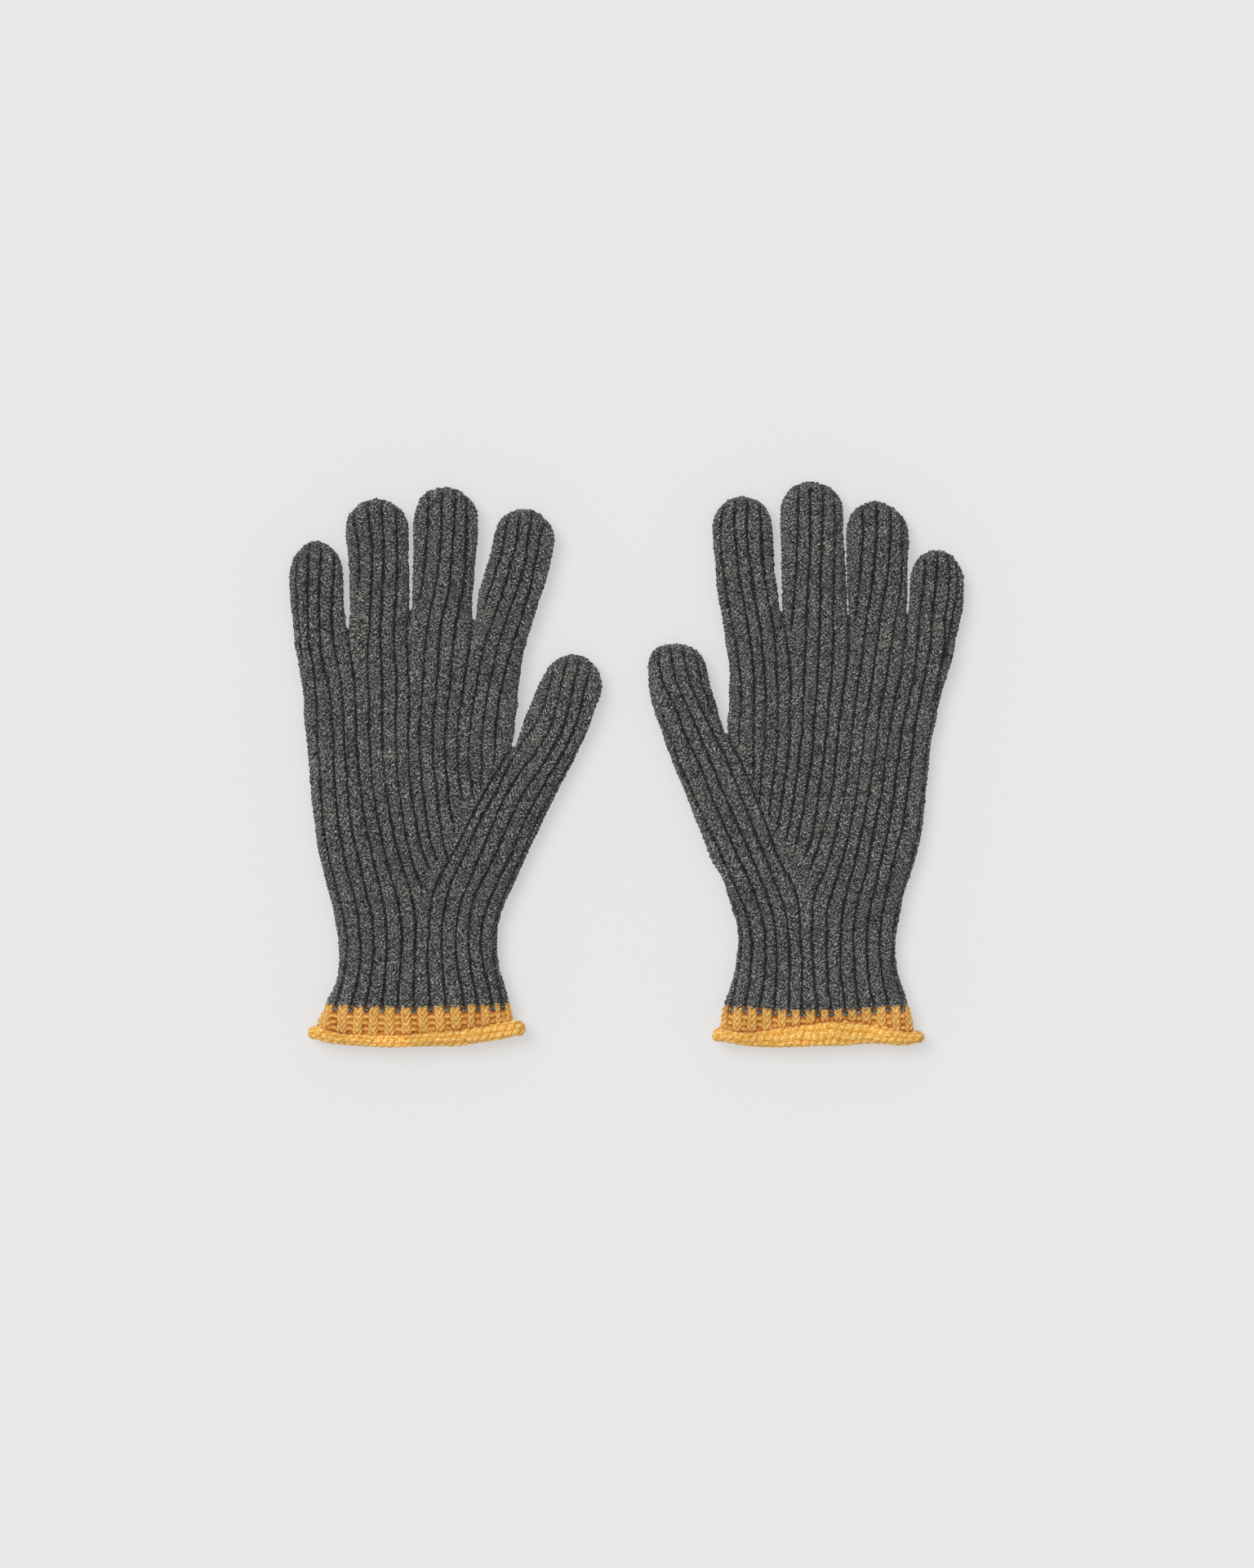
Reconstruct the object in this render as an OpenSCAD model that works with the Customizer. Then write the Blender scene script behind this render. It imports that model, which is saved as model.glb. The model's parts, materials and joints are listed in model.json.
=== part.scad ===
// A pair of knitted gloves laid side by side, palms up, fingers towards +Y.
// Millimetres, +Z up. The gloves lie on z = 0 and the origin is under the
// middle of the pair. "left" is the glove on the -X side, "right" the one on +X.
// Every solid is a hollow stretch of the knitted tube: a hand goes in at the
// rolled edge, and each finger tube is closed only at its tip. The tubes are
// cut at the knuckles so that each stretch can turn about its own hinge line.

/* [Fabric] */
// Height of a glove lying flat, both layers and the space between them
glove_t = 10; // [9.6:0.1:11]
// Thickness of one knitted layer
fabric_t = 2.2; // [2:0.1:2.4]
// Half of the gap left between two stretches that turn on one another
knuckle_gap = 0.2; // [0.15:0.05:0.3]

/* [Fingers] */
// Width of the little finger tubes, lying flat
little_w = 23.2; // [22:0.1:23.4]
// Width of the ring and middle finger tubes, lying flat
long_w = 26.6; // [25:0.1:26.6]
// Width of the index finger tubes, lying flat
index_w = 26; // [25:0.1:26.2]
// How far the ring, middle and index finger roots fold
root_fold = 80; // [60:1:80]
// How far the ring, middle and index finger middle knuckles fold
mid_fold = 90; // [70:1:90]
// How far the ring, middle and index finger end knuckles fold
end_fold = 54; // [40:1:54]
// How far the little finger root folds
little_root_fold = 75; // [60:1:75]
// How far the little finger middle knuckle folds
little_mid_fold = 85; // [70:1:85]
// How far the little finger end knuckle folds
little_end_fold = 51; // [40:1:51]

/* [Thumb] */
// Width of the thumb tubes, lying flat
thumb_w = 25.6; // [24:0.1:26]
// How far the thumb root folds
thumb_root_fold = 60; // [40:1:60]
// How far the thumb end knuckle folds
thumb_end_fold = 80; // [50:1:80]

/* [Wrist and cuff] */
// Height of the wrist's hinge line along Y
wrist_y = -74; // [-78:0.5:-70]
// How far the hand folds up from the wrist
wrist_fold = 60; // [30:1:60]
// Where the grey ribbing ends and the yellow band starts, along Y
band_y = -103.5; // [-106:0.5:-101]
// Lowest point of the rolled edge along Y
cuff_end_y = -121.45; // [-121.45:0.05:-120]
// Diameter of the rolled edge
roll_d = 2.8; // [2.4:0.1:2.8]

/* [Hidden] */
$fn = 48;

L = 0;
R = 1;
grey = "#4e4e4c";
yellow = "#d19b4c";
mid_z = glove_t / 2;
far = 400;

// fingers, as little, ring, middle, index
LITTLE = 0;
RING = 1;
MIDDLE = 2;
INDEX = 3;
// width of each finger
f_w = [little_w, long_w, long_w, index_w];
// x and y of the middle of each finger's root hinge line
root_at = [
  [[-132.8, 66], [-106.4, 74.5], [-79.3, 74.5], [-51.6, 69.5]],
  [[133.4, 64], [107.2, 69.5], [79.4, 74.5], [51.8, 74.5]]
];
// lean of each finger, positive towards +X, in degrees
lean = [[-1.5, -2, 2.8, 15], [0, 1, 0, -4]];
// y of the middle knuckle, of the end knuckle, and of the tip's end
knuckles = [
  [[77, 87, 95.9], [90, 103, 114.4], [91, 105, 119.4], [84.5, 98, 109.9]],
  [[74, 83.5, 92], [84.5, 99, 113.4], [91.5, 106.5, 121.45], [90, 103, 115.2]]
];
// how far the root, middle and end knuckles fold
folds = [
  [little_root_fold, little_mid_fold, little_end_fold],
  [root_fold, mid_fold, end_fold],
  [root_fold, mid_fold, end_fold],
  [root_fold, mid_fold, end_fold]
];

// thumbs: middle of the root hinge line, lean, and the distances along the
// thumb from there to the end knuckle and to the tip's end
thumb_at = [[-33.8, 10.7], [28.8, 17.5]];
thumb_lean = [23, -18];
thumb_knuckle = [19, 17];
thumb_end = [38.8, 35.5];

// outline of each glove from the knuckles to the cuff, outer side (little
// finger) and inner side (index finger), then the thumb's outer side
outer_side = [
  [[-145.1, 80], [-145.1, 66], [-143, 54], [-141, 41.5], [-138.6, 29], [-137.6, 12], [-136.4, -4.5], [-134.6, -21.5],
   [-133.2, -34], [-131.4, -42.5], [-129.4, -51], [-127, -59], [-125.4, -67.5], [-124.2, -76],
   [-124.2, -88.5], [-127, -97], [-130.8, -105.5], [-134, -112], [-136, -122]],
  [[144.9, 80], [144.9, 66], [141.2, 54], [139.4, 46], [135.6, 33], [132.8, 20.5], [130.4, 8], [129, -8.5],
   [127.2, -25.5], [125.8, -34], [123.6, -42.5], [121, -51], [118.5, -59], [117, -67.5], [115.4, -80],
   [116.4, -88.5], [118.8, -97], [122.2, -105.5], [124.6, -112], [126.4, -122]]
];
inner_side = [
  [[-36, 80], [-38, 70.5], [-40, 62.5], [-42.4, 54], [-44.6, 46], [-46, 37.5], [-46.7, 25], [-48, 16.5], [-48.8, 8],
   [-50, 2], [-50, -40]],
  [[38, 80], [40.8, 62.5], [42.2, 54], [43.6, 46], [43.9, 37.5], [43.2, 20.5], [42.9, 13],
   [44.5, 6], [44.5, -40]]
];
thumb_side = [
  [[-43, 22], [-18, 15], [-21.8, 5.5], [-24.2, -0.5], [-28.4, -9], [-32.8, -17], [-37, -25.5], [-40.8, -34],
   [-44, -42.5], [-48, -51], [-52.4, -59], [-55, -67.5], [-55.2, -76], [-54.8, -84.5], [-52.8, -93],
   [-50.8, -101], [-46, -110], [-44.8, -122]],
  [[40, 26.5], [13, 22], [15.6, 13], [17.2, 8], [20.2, -0.5], [23.4, -8.5], [26.8, -17], [30.2, -25.5],
   [33.2, -34], [36.6, -42.5], [41, -51], [44.4, -59], [47, -67.5], [47.4, -76], [46, -88.5],
   [43.6, -97], [40.8, -105.5], [38.4, -112], [37.4, -122]]
];
// inside corner between thumb and index finger
crotch = [[-48.8, 8], [42.9, 13]];
// line between thumb and index finger, from just above the crotch upwards
gap_line = [[[-46.7, 16.5], [-42.5, 32]], [[42.2, 21.5], [41.2, 32]]];
// lowest point of the seam where the thumb leaves the hand
seam_foot = [[-87, -52.5], [74.4, -55]];
// x of the lines between the fingers, from the little finger's outer side inwards
f_lines = [[-160, -120.9, -92.85, -65.6, -30], [160, 120.85, 93.3, 65.6, 30]];
// ends of the rolled edge along X
roll_x = [[-136.7, -44.6], [36.9, 127.2]];

// ---- building blocks ----

// region on the tip's side of a hinge line at y, for a fold of up to "fold"
module beyond(y, fold) {
  a = fold / 2 + 1;
  rotate([90, 0, 90]) linear_extrude(2 * far, center = true) polygon([
    [y + knuckle_gap, -far], [y + knuckle_gap, mid_z],
    [y + knuckle_gap + 40 * tan(a), mid_z + 40], [far, mid_z + 40], [far, -far]]);
}

// region on the hand's side of a hinge line at y, between two values of x
module before(y, fold, x0 = -far, x1 = far) {
  a = fold / 2 + 1;
  translate([min(x0, x1), 0, 0]) rotate([90, 0, 90]) linear_extrude(abs(x1 - x0)) polygon([
    [y - knuckle_gap, -far], [y - knuckle_gap, mid_z],
    [y - knuckle_gap - 40 * tan(a), mid_z + 40], [-far, mid_z + 40], [-far, -far]]);
}

// flat tube along +Y with a round closed tip: l is the length to the tip's end
module flat_tube(w, t, l) {
  translate([0, l - w / 2, t / 2]) rotate([90, 0, 0]) linear_extrude(l - w / 2 + 12) union() {
    square([w - t, t], center = true);
    translate([-(w - t) / 2, 0]) circle(d = t);
    translate([(w - t) / 2, 0]) circle(d = t);
  }
  translate([0, l - w / 2, 0]) rotate_extrude() intersection() {
    union() {
      translate([0, 0]) square([w / 2 - t / 2, t]);
      translate([w / 2 - t / 2, t / 2]) circle(d = t);
    }
    square([w, t]);
  }
}

// hollow finger tube, standing at its root and leaning by "a" degrees
module tube(at, a, w, l) {
  translate([at[0], at[1], 0]) rotate([0, 0, -a]) difference() {
    flat_tube(w, glove_t, l);
    translate([0, 0, fabric_t]) flat_tube(w - 2 * fabric_t, glove_t - 2 * fabric_t, l - fabric_t);
  }
}

// one finger's whole tube
module finger_tube(s, f) {
  w = f_w[f];
  l = (knuckles[s][f][2] - w / 2 - root_at[s][f][1]) / cos(lean[s][f]) + w / 2;
  tube(root_at[s][f], lean[s][f], w, l);
}

module finger_base(s, f) color(grey) intersection() {
  finger_tube(s, f);
  beyond(root_at[s][f][1], folds[f][0]);
  before(knuckles[s][f][0], folds[f][1]);
}

module finger_middle(s, f) color(grey) intersection() {
  finger_tube(s, f);
  beyond(knuckles[s][f][0], folds[f][1]);
  before(knuckles[s][f][1], folds[f][2]);
}

module finger_tip(s, f) color(grey) intersection() {
  finger_tube(s, f);
  beyond(knuckles[s][f][1], folds[f][2]);
}

// the thumb is drawn along +Y from its root hinge line, then put in place
module thumb_place(s) translate([thumb_at[s][0], thumb_at[s][1], 0]) rotate([0, 0, -thumb_lean[s]]) children();

module thumb_base(s) color(grey) thumb_place(s) intersection() {
  tube([0, 0], 0, thumb_w, thumb_end[s]);
  beyond(0, thumb_root_fold);
  before(thumb_knuckle[s], thumb_end_fold);
}

module thumb_tip(s) color(grey) thumb_place(s) intersection() {
  tube([0, 0], 0, thumb_w, thumb_end[s]);
  beyond(thumb_knuckle[s], thumb_end_fold);
}

// side of an outline moved inwards by d along X; k is +1 when inwards is +X
function inset(side, d, k) = [for (p = side) [p[0] + k * d, p[1]]];
function upside(side) = [for (i = [len(side) - 1:-1:0]) side[i]];
function inward(s) = s == L ? 1 : -1;

// plan of hand, thumb root, wrist and cuff, its sides moved inwards by d
module plan(s, d) {
  k = inward(s);
  // hand and cuff, from the little finger's side to the index finger's side
  polygon(concat(inset(outer_side[s], d, k),
    upside(concat(inset([for (p = inner_side[s]) p], d, -k),
      inset([for (p = thumb_side[s]) if (p[1] < -45) p], d * 1.1, -k)))));
  // thumb root
  polygon([
    [thumb_side[s][0][0] + k * d, thumb_side[s][0][1]],
    for (i = [1:len(thumb_side[s]) - 1]) if (thumb_side[s][i][1] > -62)
      [thumb_side[s][i][0] - k * d * 1.1, thumb_side[s][i][1]],
    [seam_foot[s][0], -60],
    [seam_foot[s][0], seam_foot[s][1]],
    [crotch[s][0] + k * d * 1.1 - k * 3, crotch[s][1] - 4],
    [crotch[s][0] + k * d * 1.1, crotch[s][1]]]);
}

// closed solid of that plan, its edges eased top and bottom
module flat_body(s) {
  linear_extrude(glove_t) plan(s, 1.8);
  translate([0, 0, 1.6]) linear_extrude(glove_t - 3.2) plan(s, 0);
}

module flat_shell(s) difference() {
  flat_body(s);
  translate([0, 0, fabric_t]) linear_extrude(glove_t - 2 * fabric_t) plan(s, 2.6);
}

// side of the thumb seam on which the thumb root lies
module thumb_root_region(s) {
  k = inward(s);
  translate([0, 0, -1]) linear_extrude(glove_t + 2) polygon([
    seam_foot[s], crotch[s], gap_line[s][0], gap_line[s][1],
    [crotch[s][0] + k * 60, 32], [crotch[s][0] + k * 60, wrist_y - 30],
    [seam_foot[s][0], wrist_y - 30]]);
}

// region on the hand's side of all four finger roots
module before_fingers(s) for (f = [LITTLE:INDEX])
  before(root_at[s][f][1], folds[f][0], f_lines[s][f], f_lines[s][f + 1]);

module hand(s) color(grey) difference() {
  intersection() {
    flat_shell(s);
    before_fingers(s);
    beyond(wrist_y, wrist_fold);
  }
  thumb_root_region(s);
}

module thumb_gusset(s) color(grey) intersection() {
  flat_shell(s);
  thumb_root_region(s);
  beyond(wrist_y, wrist_fold);
  thumb_place(s) before(0, thumb_root_fold);
}

module slab(y0, y1) translate([-far, y0, -1]) cube([2 * far, y1 - y0, glove_t + 2]);

module wrist_rib(s) color(grey) intersection() {
  flat_shell(s);
  before(wrist_y, wrist_fold);
  slab(band_y, 0);
}

// the rolled edge runs once round the flat mouth of the cuff
module roll(s) {
  r = (glove_t - roll_d) / 2;
  x0 = roll_x[s][0] + roll_d / 2 + r;
  x1 = roll_x[s][1] - roll_d / 2 - r;
  y = cuff_end_y + roll_d / 2;
  for (z = [roll_d / 2, glove_t - roll_d / 2])
    translate([x0, y, z]) rotate([0, 90, 0]) cylinder(d = roll_d, h = x1 - x0);
  translate([x0, y, mid_z]) rotate([90, 0, 0]) rotate([0, 0, 90]) rotate_extrude(angle = 180)
    translate([r, 0]) circle(d = roll_d);
  translate([x1, y, mid_z]) rotate([90, 0, 0]) rotate([0, 0, -90]) rotate_extrude(angle = 180)
    translate([r, 0]) circle(d = roll_d);
}

module rolled_edge(s) color(yellow) roll(s);

module cuff_band(s) color(yellow) difference() {
  intersection() {
    flat_shell(s);
    slab(cuff_end_y + roll_d / 2, band_y);
  }
  roll(s);
}

rolled_edge(L);  // left_rolled_edge
cuff_band(L);  // left_cuff_band
wrist_rib(L);  // left_wrist_rib
hand(L);  // left_hand
thumb_gusset(L);  // left_thumb_gusset
thumb_base(L);  // left_thumb_base
thumb_tip(L);  // left_thumb_tip
finger_base(L, INDEX);  // left_index_base
finger_middle(L, INDEX);  // left_index_middle
finger_tip(L, INDEX);  // left_index_tip
finger_base(L, MIDDLE);  // left_middle_base
finger_middle(L, MIDDLE);  // left_middle_middle
finger_tip(L, MIDDLE);  // left_middle_tip
finger_base(L, RING);  // left_ring_base
finger_middle(L, RING);  // left_ring_middle
finger_tip(L, RING);  // left_ring_tip
finger_base(L, LITTLE);  // left_little_base
finger_middle(L, LITTLE);  // left_little_middle
finger_tip(L, LITTLE);  // left_little_tip
rolled_edge(R);  // right_rolled_edge
cuff_band(R);  // right_cuff_band
wrist_rib(R);  // right_wrist_rib
hand(R);  // right_hand
thumb_gusset(R);  // right_thumb_gusset
thumb_base(R);  // right_thumb_base
thumb_tip(R);  // right_thumb_tip
finger_base(R, INDEX);  // right_index_base
finger_middle(R, INDEX);  // right_index_middle
finger_tip(R, INDEX);  // right_index_tip
finger_base(R, MIDDLE);  // right_middle_base
finger_middle(R, MIDDLE);  // right_middle_middle
finger_tip(R, MIDDLE);  // right_middle_tip
finger_base(R, RING);  // right_ring_base
finger_middle(R, RING);  // right_ring_middle
finger_tip(R, RING);  // right_ring_tip
finger_base(R, LITTLE);  // right_little_base
finger_middle(R, LITTLE);  // right_little_middle
finger_tip(R, LITTLE);  // right_little_tip
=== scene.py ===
"""Looks of a pair of rib knitted gloves: grey marl wool, yellow cuff bands with a rolled edge.

The knit is one surface per glove, made from a flattened rounded body with plump ribs, narrow
grooves and rows of V stitches. It is cut into the parts that move. All sizes in this file are in
millimetres until a mesh is made.
"""

import json
import math

import bpy
import numpy as np
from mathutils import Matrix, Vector


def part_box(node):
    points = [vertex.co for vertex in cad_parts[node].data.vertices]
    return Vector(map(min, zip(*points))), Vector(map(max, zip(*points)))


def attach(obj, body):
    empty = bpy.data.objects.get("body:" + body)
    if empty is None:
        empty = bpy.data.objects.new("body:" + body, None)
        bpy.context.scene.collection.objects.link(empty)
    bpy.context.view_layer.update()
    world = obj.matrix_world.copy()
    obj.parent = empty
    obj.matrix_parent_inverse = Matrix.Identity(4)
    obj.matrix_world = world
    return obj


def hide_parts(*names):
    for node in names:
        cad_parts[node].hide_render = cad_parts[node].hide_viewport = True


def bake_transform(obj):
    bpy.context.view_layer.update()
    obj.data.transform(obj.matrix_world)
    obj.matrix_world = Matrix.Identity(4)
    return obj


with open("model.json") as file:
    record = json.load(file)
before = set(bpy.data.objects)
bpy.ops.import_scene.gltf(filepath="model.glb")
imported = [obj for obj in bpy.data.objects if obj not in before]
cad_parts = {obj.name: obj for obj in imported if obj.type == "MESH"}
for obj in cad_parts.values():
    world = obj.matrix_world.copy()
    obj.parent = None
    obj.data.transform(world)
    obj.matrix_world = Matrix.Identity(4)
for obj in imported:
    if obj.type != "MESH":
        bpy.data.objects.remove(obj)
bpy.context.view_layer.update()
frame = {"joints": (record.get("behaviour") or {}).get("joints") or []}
JOINTS = {j["name"]: j for j in frame["joints"]}

# ---------------------------------------------------------------- the two gloves' layout, mm
# outline: the lying glove's edge, from the cuff round the fingers and back to the cuff.
# folds: where neighbouring fingers press together, then the heights where the fold is fully
#        open and where it has closed.
# grooves: the lines between neighbouring ribs.  fading: grooves that run out, with the heights
#        where they are full and where they have gone.
LEFT = dict(
    outline=[
        (-133.5, -115.1), (-133.2, -109.5), (-131.1, -105.3), (-129, -101.1), (-126.9, -96.9), (-125.1, -92.8), (-124.1, -88.5), (-123.7, -82.2), (-124.1, -75.9),
        (-124.8, -70.3), (-125.8, -65.5), (-126.9, -59.1), (-129.3, -50.8), (-131.4, -42.3), (-133.2, -33.9), (-134.2, -24.8), (-135.6, -15), (-136.3, -4.5),
        (-137, 3.8), (-137.7, 12.2), (-138.8, 20.6), (-138.8, 27.6), (-139.5, 33.2), (-140.5, 39.5), (-141.6, 45.8), (-142.6, 50.8), (-143.3, 58.4),
        (-144, 64.8), (-144.7, 71), (-145.1, 75.9), (-145.1, 81.5), (-144, 87.1), (-141.6, 91.7), (-138.1, 94.8), (-133.5, 96.2), (-129, 94.8),
        (-125.1, 92), (-123, 88.2), (-122, 84), (-121.6, 78.8), (-121.6, 73.8), (-121.3, 68.2), (-120.6, 63.3), (-119.9, 58.8), (-119.2, 64.8),
        (-119.2, 71), (-119.5, 77.3), (-119.5, 83.6), (-119.9, 89.9), (-120.6, 96.2), (-120.9, 101.1), (-120.2, 106), (-118.1, 109.5), (-113.2, 113),
        (-107.3, 114.4), (-101.3, 113), (-96.8, 109.5), (-94.3, 105.3), (-93.6, 100.4), (-93.6, 94.1), (-93.6, 87.8), (-93.3, 81.5), (-93.3, 75.2),
        (-92.9, 66.8), (-92.2, 75.2), (-92.2, 82.9), (-91.9, 89.9), (-91.9, 98.7), (-91.9, 104.6), (-90.8, 110.2), (-88.7, 114.8), (-84.5, 117.9),
        (-77.5, 119.3), (-71.9, 117.9), (-67.4, 114.4), (-64.6, 110.2), (-63.9, 104.6), (-63.9, 98.7), (-64.6, 91.7), (-65.3, 83.6), (-65.6, 77.7),
        (-66.3, 71.8), (-66.3, 66.8), (-65.6, 61.9), (-64.6, 68.2), (-63.9, 73.8), (-62.8, 77.3), (-61.4, 82.2), (-59.7, 87.8), (-58.6, 92),
        (-57.6, 96.9), (-56.5, 101.1), (-54.8, 105), (-50.9, 108.1), (-46, 109.9), (-41.8, 109.9), (-37.6, 107.8), (-33.8, 104.6), (-31.7, 100.8),
        (-31, 96.6), (-31.7, 91.7), (-32.7, 86.4), (-33.8, 82.2), (-34.8, 78.4), (-36.2, 74.5), (-38, 69.3), (-39.7, 63.3), (-41.5, 57.7),
        (-42.9, 52.8), (-44.3, 47.9), (-45.3, 41.6), (-46, 36), (-46.7, 30.4), (-46.7, 25.5), (-47.8, 19.9), (-48.1, 14.3), (-48.8, 8),
        (-46, 14), (-44.3, 19.9), (-41.8, 25.5), (-39.7, 30.8), (-37.3, 36), (-34.8, 40.6), (-32.4, 43.8), (-29.2, 45.8), (-25.7, 47.2),
        (-22.6, 47.6), (-19.1, 46.9), (-15.9, 45.1), (-13.1, 42.3), (-11.4, 38.8), (-10.7, 34.6), (-11, 30.4), (-12.8, 26.2), (-14.5, 21.3),
        (-15.9, 16.4), (-18, 11.5), (-20.5, 6.6), (-22.9, 1.8), (-25.7, -3.8), (-28.9, -9.8), (-31.7, -15.4), (-34.8, -21.3), (-37.6, -27.6),
        (-40.8, -33.9), (-43.2, -39.5), (-46.4, -46.5), (-48.8, -52.1), (-51.6, -57.7), (-53.7, -63.3), (-55.1, -68.9), (-55.5, -74.5), (-55.5, -80.8),
        (-54.8, -85.8), (-53.7, -89.9), (-52, -95.5), (-50.6, -101.1), (-49.2, -106), (-48.5, -110.2), (-48.1, -115.1)
    ],
    folds=[
        ([(-119.9, 61.2), (-119.9, 57.7), (-119.5, 51.4), (-117.4, 43.8), (-116.4, 30.4)], 57.7, 37.4),
        ([(-92.9, 68.9), (-94, 60.2), (-94.3, 53.2), (-93.6, 30.4)], 64.8, 42.7),
        ([(-66, 64.8), (-66.7, 56.7), (-67.4, 51.4), (-68.8, 40.9), (-70.9, 30.4)], 60.2, 35.7),
        ([(-48.1, 11.2), (-48.8, 8), (-52, 3.1), (-55.5, -2.4), (-59.3, -8.8)], 8, -6.3),
    ],
    grooves=[
        [(-140.5, 94.1), (-141.6, 86.4), (-141.9, 77.7), (-141.2, 67.2), (-140.5, 56.7), (-139.5, 45.8)],
        [(-136, 94.8), (-136.7, 86.4), (-136.7, 75.9), (-136.7, 61.9), (-136.3, 51.4), (-134.2, 40.9), (-133.2, 30.4), (-132.8, 19.9), (-132.5, 9.4), (-131.8, -1),
        (-131.1, -11.5), (-130.4, -22), (-129.3, -32.5), (-126.9, -43), (-124.4, -53.5), (-121.6, -64), (-119.9, -74.5), (-120.6, -85), (-122.7, -95.5), (-124.8, -102.5),
        (-125.8, -115.8)],
        [(-131.1, 95.5), (-131.4, 86.4), (-131.8, 74.2), (-131.8, 61.9), (-131.4, 51.4), (-129.3, 40.9), (-127.2, 30.4), (-126.5, 19.9), (-125.8, 9.4), (-125.5, -1),
        (-124.8, -11.5), (-123.7, -22), (-122.3, -32.5), (-120.2, -43), (-117.4, -53.5), (-115.3, -64), (-114.3, -74.5), (-114.3, -85), (-116, -95.5), (-118.1, -102.5),
        (-118.8, -115.8)],
        [(-126.2, 94.1), (-125.5, 86.4), (-125.8, 77.7), (-126.5, 67.2), (-126.5, 60.2), (-125.5, 51.4), (-123.4, 40.9), (-122, 30.4), (-121.3, 19.9), (-120.9, 9.4),
        (-120.2, -1), (-119.5, -11.5), (-118.5, -22), (-116.7, -32.5), (-114.3, -43), (-111.8, -53.5), (-109.4, -64), (-108.3, -74.5), (-108.7, -85), (-110.4, -95.5),
        (-111.5, -102.5), (-112.5, -115.8)],
        [(-119.9, 58.8), (-119.5, 51.4), (-117.4, 40.9), (-116.4, 30.4), (-116, 19.9), (-115.7, 9.4), (-115, -1), (-113.9, -11.5), (-112.5, -22), (-110.4, -32.5),
        (-108.3, -43), (-105.5, -53.5), (-103.4, -64), (-102.7, -74.5), (-103.1, -85), (-104.1, -95.5), (-104.8, -102.5), (-105.5, -115.8)],
        [(-111.1, 115.1), (-110.4, 103.9), (-109.4, 95.2), (-109, 86.4), (-109.4, 74.2), (-110.1, 61.9), (-111.1, 51.4), (-111.1, 40.9), (-110.4, 30.4), (-110.4, 19.9),
        (-110.1, 9.4), (-109.7, -1), (-108.7, -11.5), (-106.9, -22), (-104.8, -32.5), (-102.4, -43), (-99.2, -53.5), (-97.1, -64), (-96.4, -74.5), (-96.8, -85),
        (-97.8, -95.5), (-98.2, -102.5), (-97.8, -115.8)],
        [(-105.5, 115.8), (-104.8, 103.9), (-104.1, 95.2), (-104.1, 86.4), (-104.8, 74.2), (-105.5, 61.9), (-105.5, 51.4), (-105.2, 40.9), (-104.8, 30.4), (-104.8, 19.9),
        (-104.8, 9.4), (-104.1, -1), (-103.1, -11.5), (-101.3, -22), (-99.2, -32.5), (-96.4, -43), (-92.9, -53.5), (-90.8, -64), (-90.5, -74.5), (-90.8, -85),
        (-91.2, -95.5), (-91.2, -102.5), (-90.8, -115.8)],
        [(-99.9, 114.4), (-98.9, 103.9), (-98.5, 95.2), (-98.5, 86.4), (-98.9, 74.2), (-99.6, 61.9), (-99.6, 51.4), (-98.9, 40.9), (-98.5, 30.4), (-98.9, 19.9),
        (-98.9, 9.4), (-98.5, -1), (-97.5, -11.5), (-96.1, -22), (-94.3, -32.5), (-91.5, -43), (-87.7, -52.8)],
        [(-93.3, 67.2), (-94.3, 60.2), (-94.3, 53.2), (-93.6, 40.9), (-93.3, 30.4), (-93.6, 19.9), (-93.6, 9.4), (-93.3, -1), (-92.2, -11.5), (-90.8, -22),
        (-88.7, -32.5), (-84.9, -44.4)],
        [(-79.3, 120), (-79.3, 107.4), (-79.6, 95.2), (-80.7, 86.4), (-81.7, 77.7), (-83.5, 68.9), (-85.2, 60.2), (-86.3, 51.4), (-87, 40.9), (-87.7, 30.4),
        (-88.4, 19.9), (-88.7, 9.4), (-88.4, -1), (-87.3, -11.5), (-85.9, -22), (-84.2, -32.5), (-81.4, -40.2)],
        [(-73.7, 120), (-73.7, 107.4), (-74.4, 95.2), (-75.1, 86.4), (-75.8, 77.7), (-77.5, 68.9), (-79.6, 60.2), (-80.7, 51.4), (-81, 40.9), (-81.7, 30.4),
        (-82.8, 19.9), (-83.1, 9.4), (-82.8, -1), (-81.4, -11.5), (-80.3, -22), (-78.9, -32.5), (-76.8, -39.5)],
        [(-69.1, 117.9), (-68.8, 107.4), (-68.8, 95.2), (-69.1, 86.4), (-69.8, 77.7), (-71.6, 68.9), (-73.3, 60.2), (-74.4, 51.4), (-75.1, 40.9), (-76.1, 30.4),
        (-77.2, 19.9), (-77.9, 9.4), (-77.5, -1), (-76.5, -11.5), (-75.1, -22), (-74, -24.8)],
        [(-66, 61.9), (-67.4, 51.4), (-68.8, 40.9), (-70.5, 30.4), (-71.9, 19.9), (-72.6, 9.4), (-72.3, -1), (-70.9, -11.5), (-69.8, -15)],
        [(-45.3, 110.9), (-46.4, 103.9), (-47.4, 95.2), (-49.5, 86.4), (-52, 77.7), (-54.8, 68.9), (-57.9, 60.2), (-61.1, 51.4), (-63.2, 40.9), (-64.9, 30.4),
        (-66.7, 19.9), (-67.7, 9.4), (-67.4, -1), (-66, -12.9)],
        [(-40.1, 110.9), (-41.1, 103.9), (-42.5, 95.2), (-43.9, 86.4), (-46, 77.7), (-49.2, 68.9), (-52.3, 60.2), (-55.1, 51.4), (-57.6, 40.9), (-59.7, 30.4),
        (-61.1, 19.9), (-62.1, 9.4), (-62.1, -1), (-62.5, -8.8)],
        [(-34.8, 107.4), (-36.2, 102.2), (-37.6, 95.2), (-39.4, 86.4), (-41.1, 77.7), (-43.6, 68.9), (-46, 60.2), (-49.2, 51.4), (-52, 40.9), (-54.1, 30.4),
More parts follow.
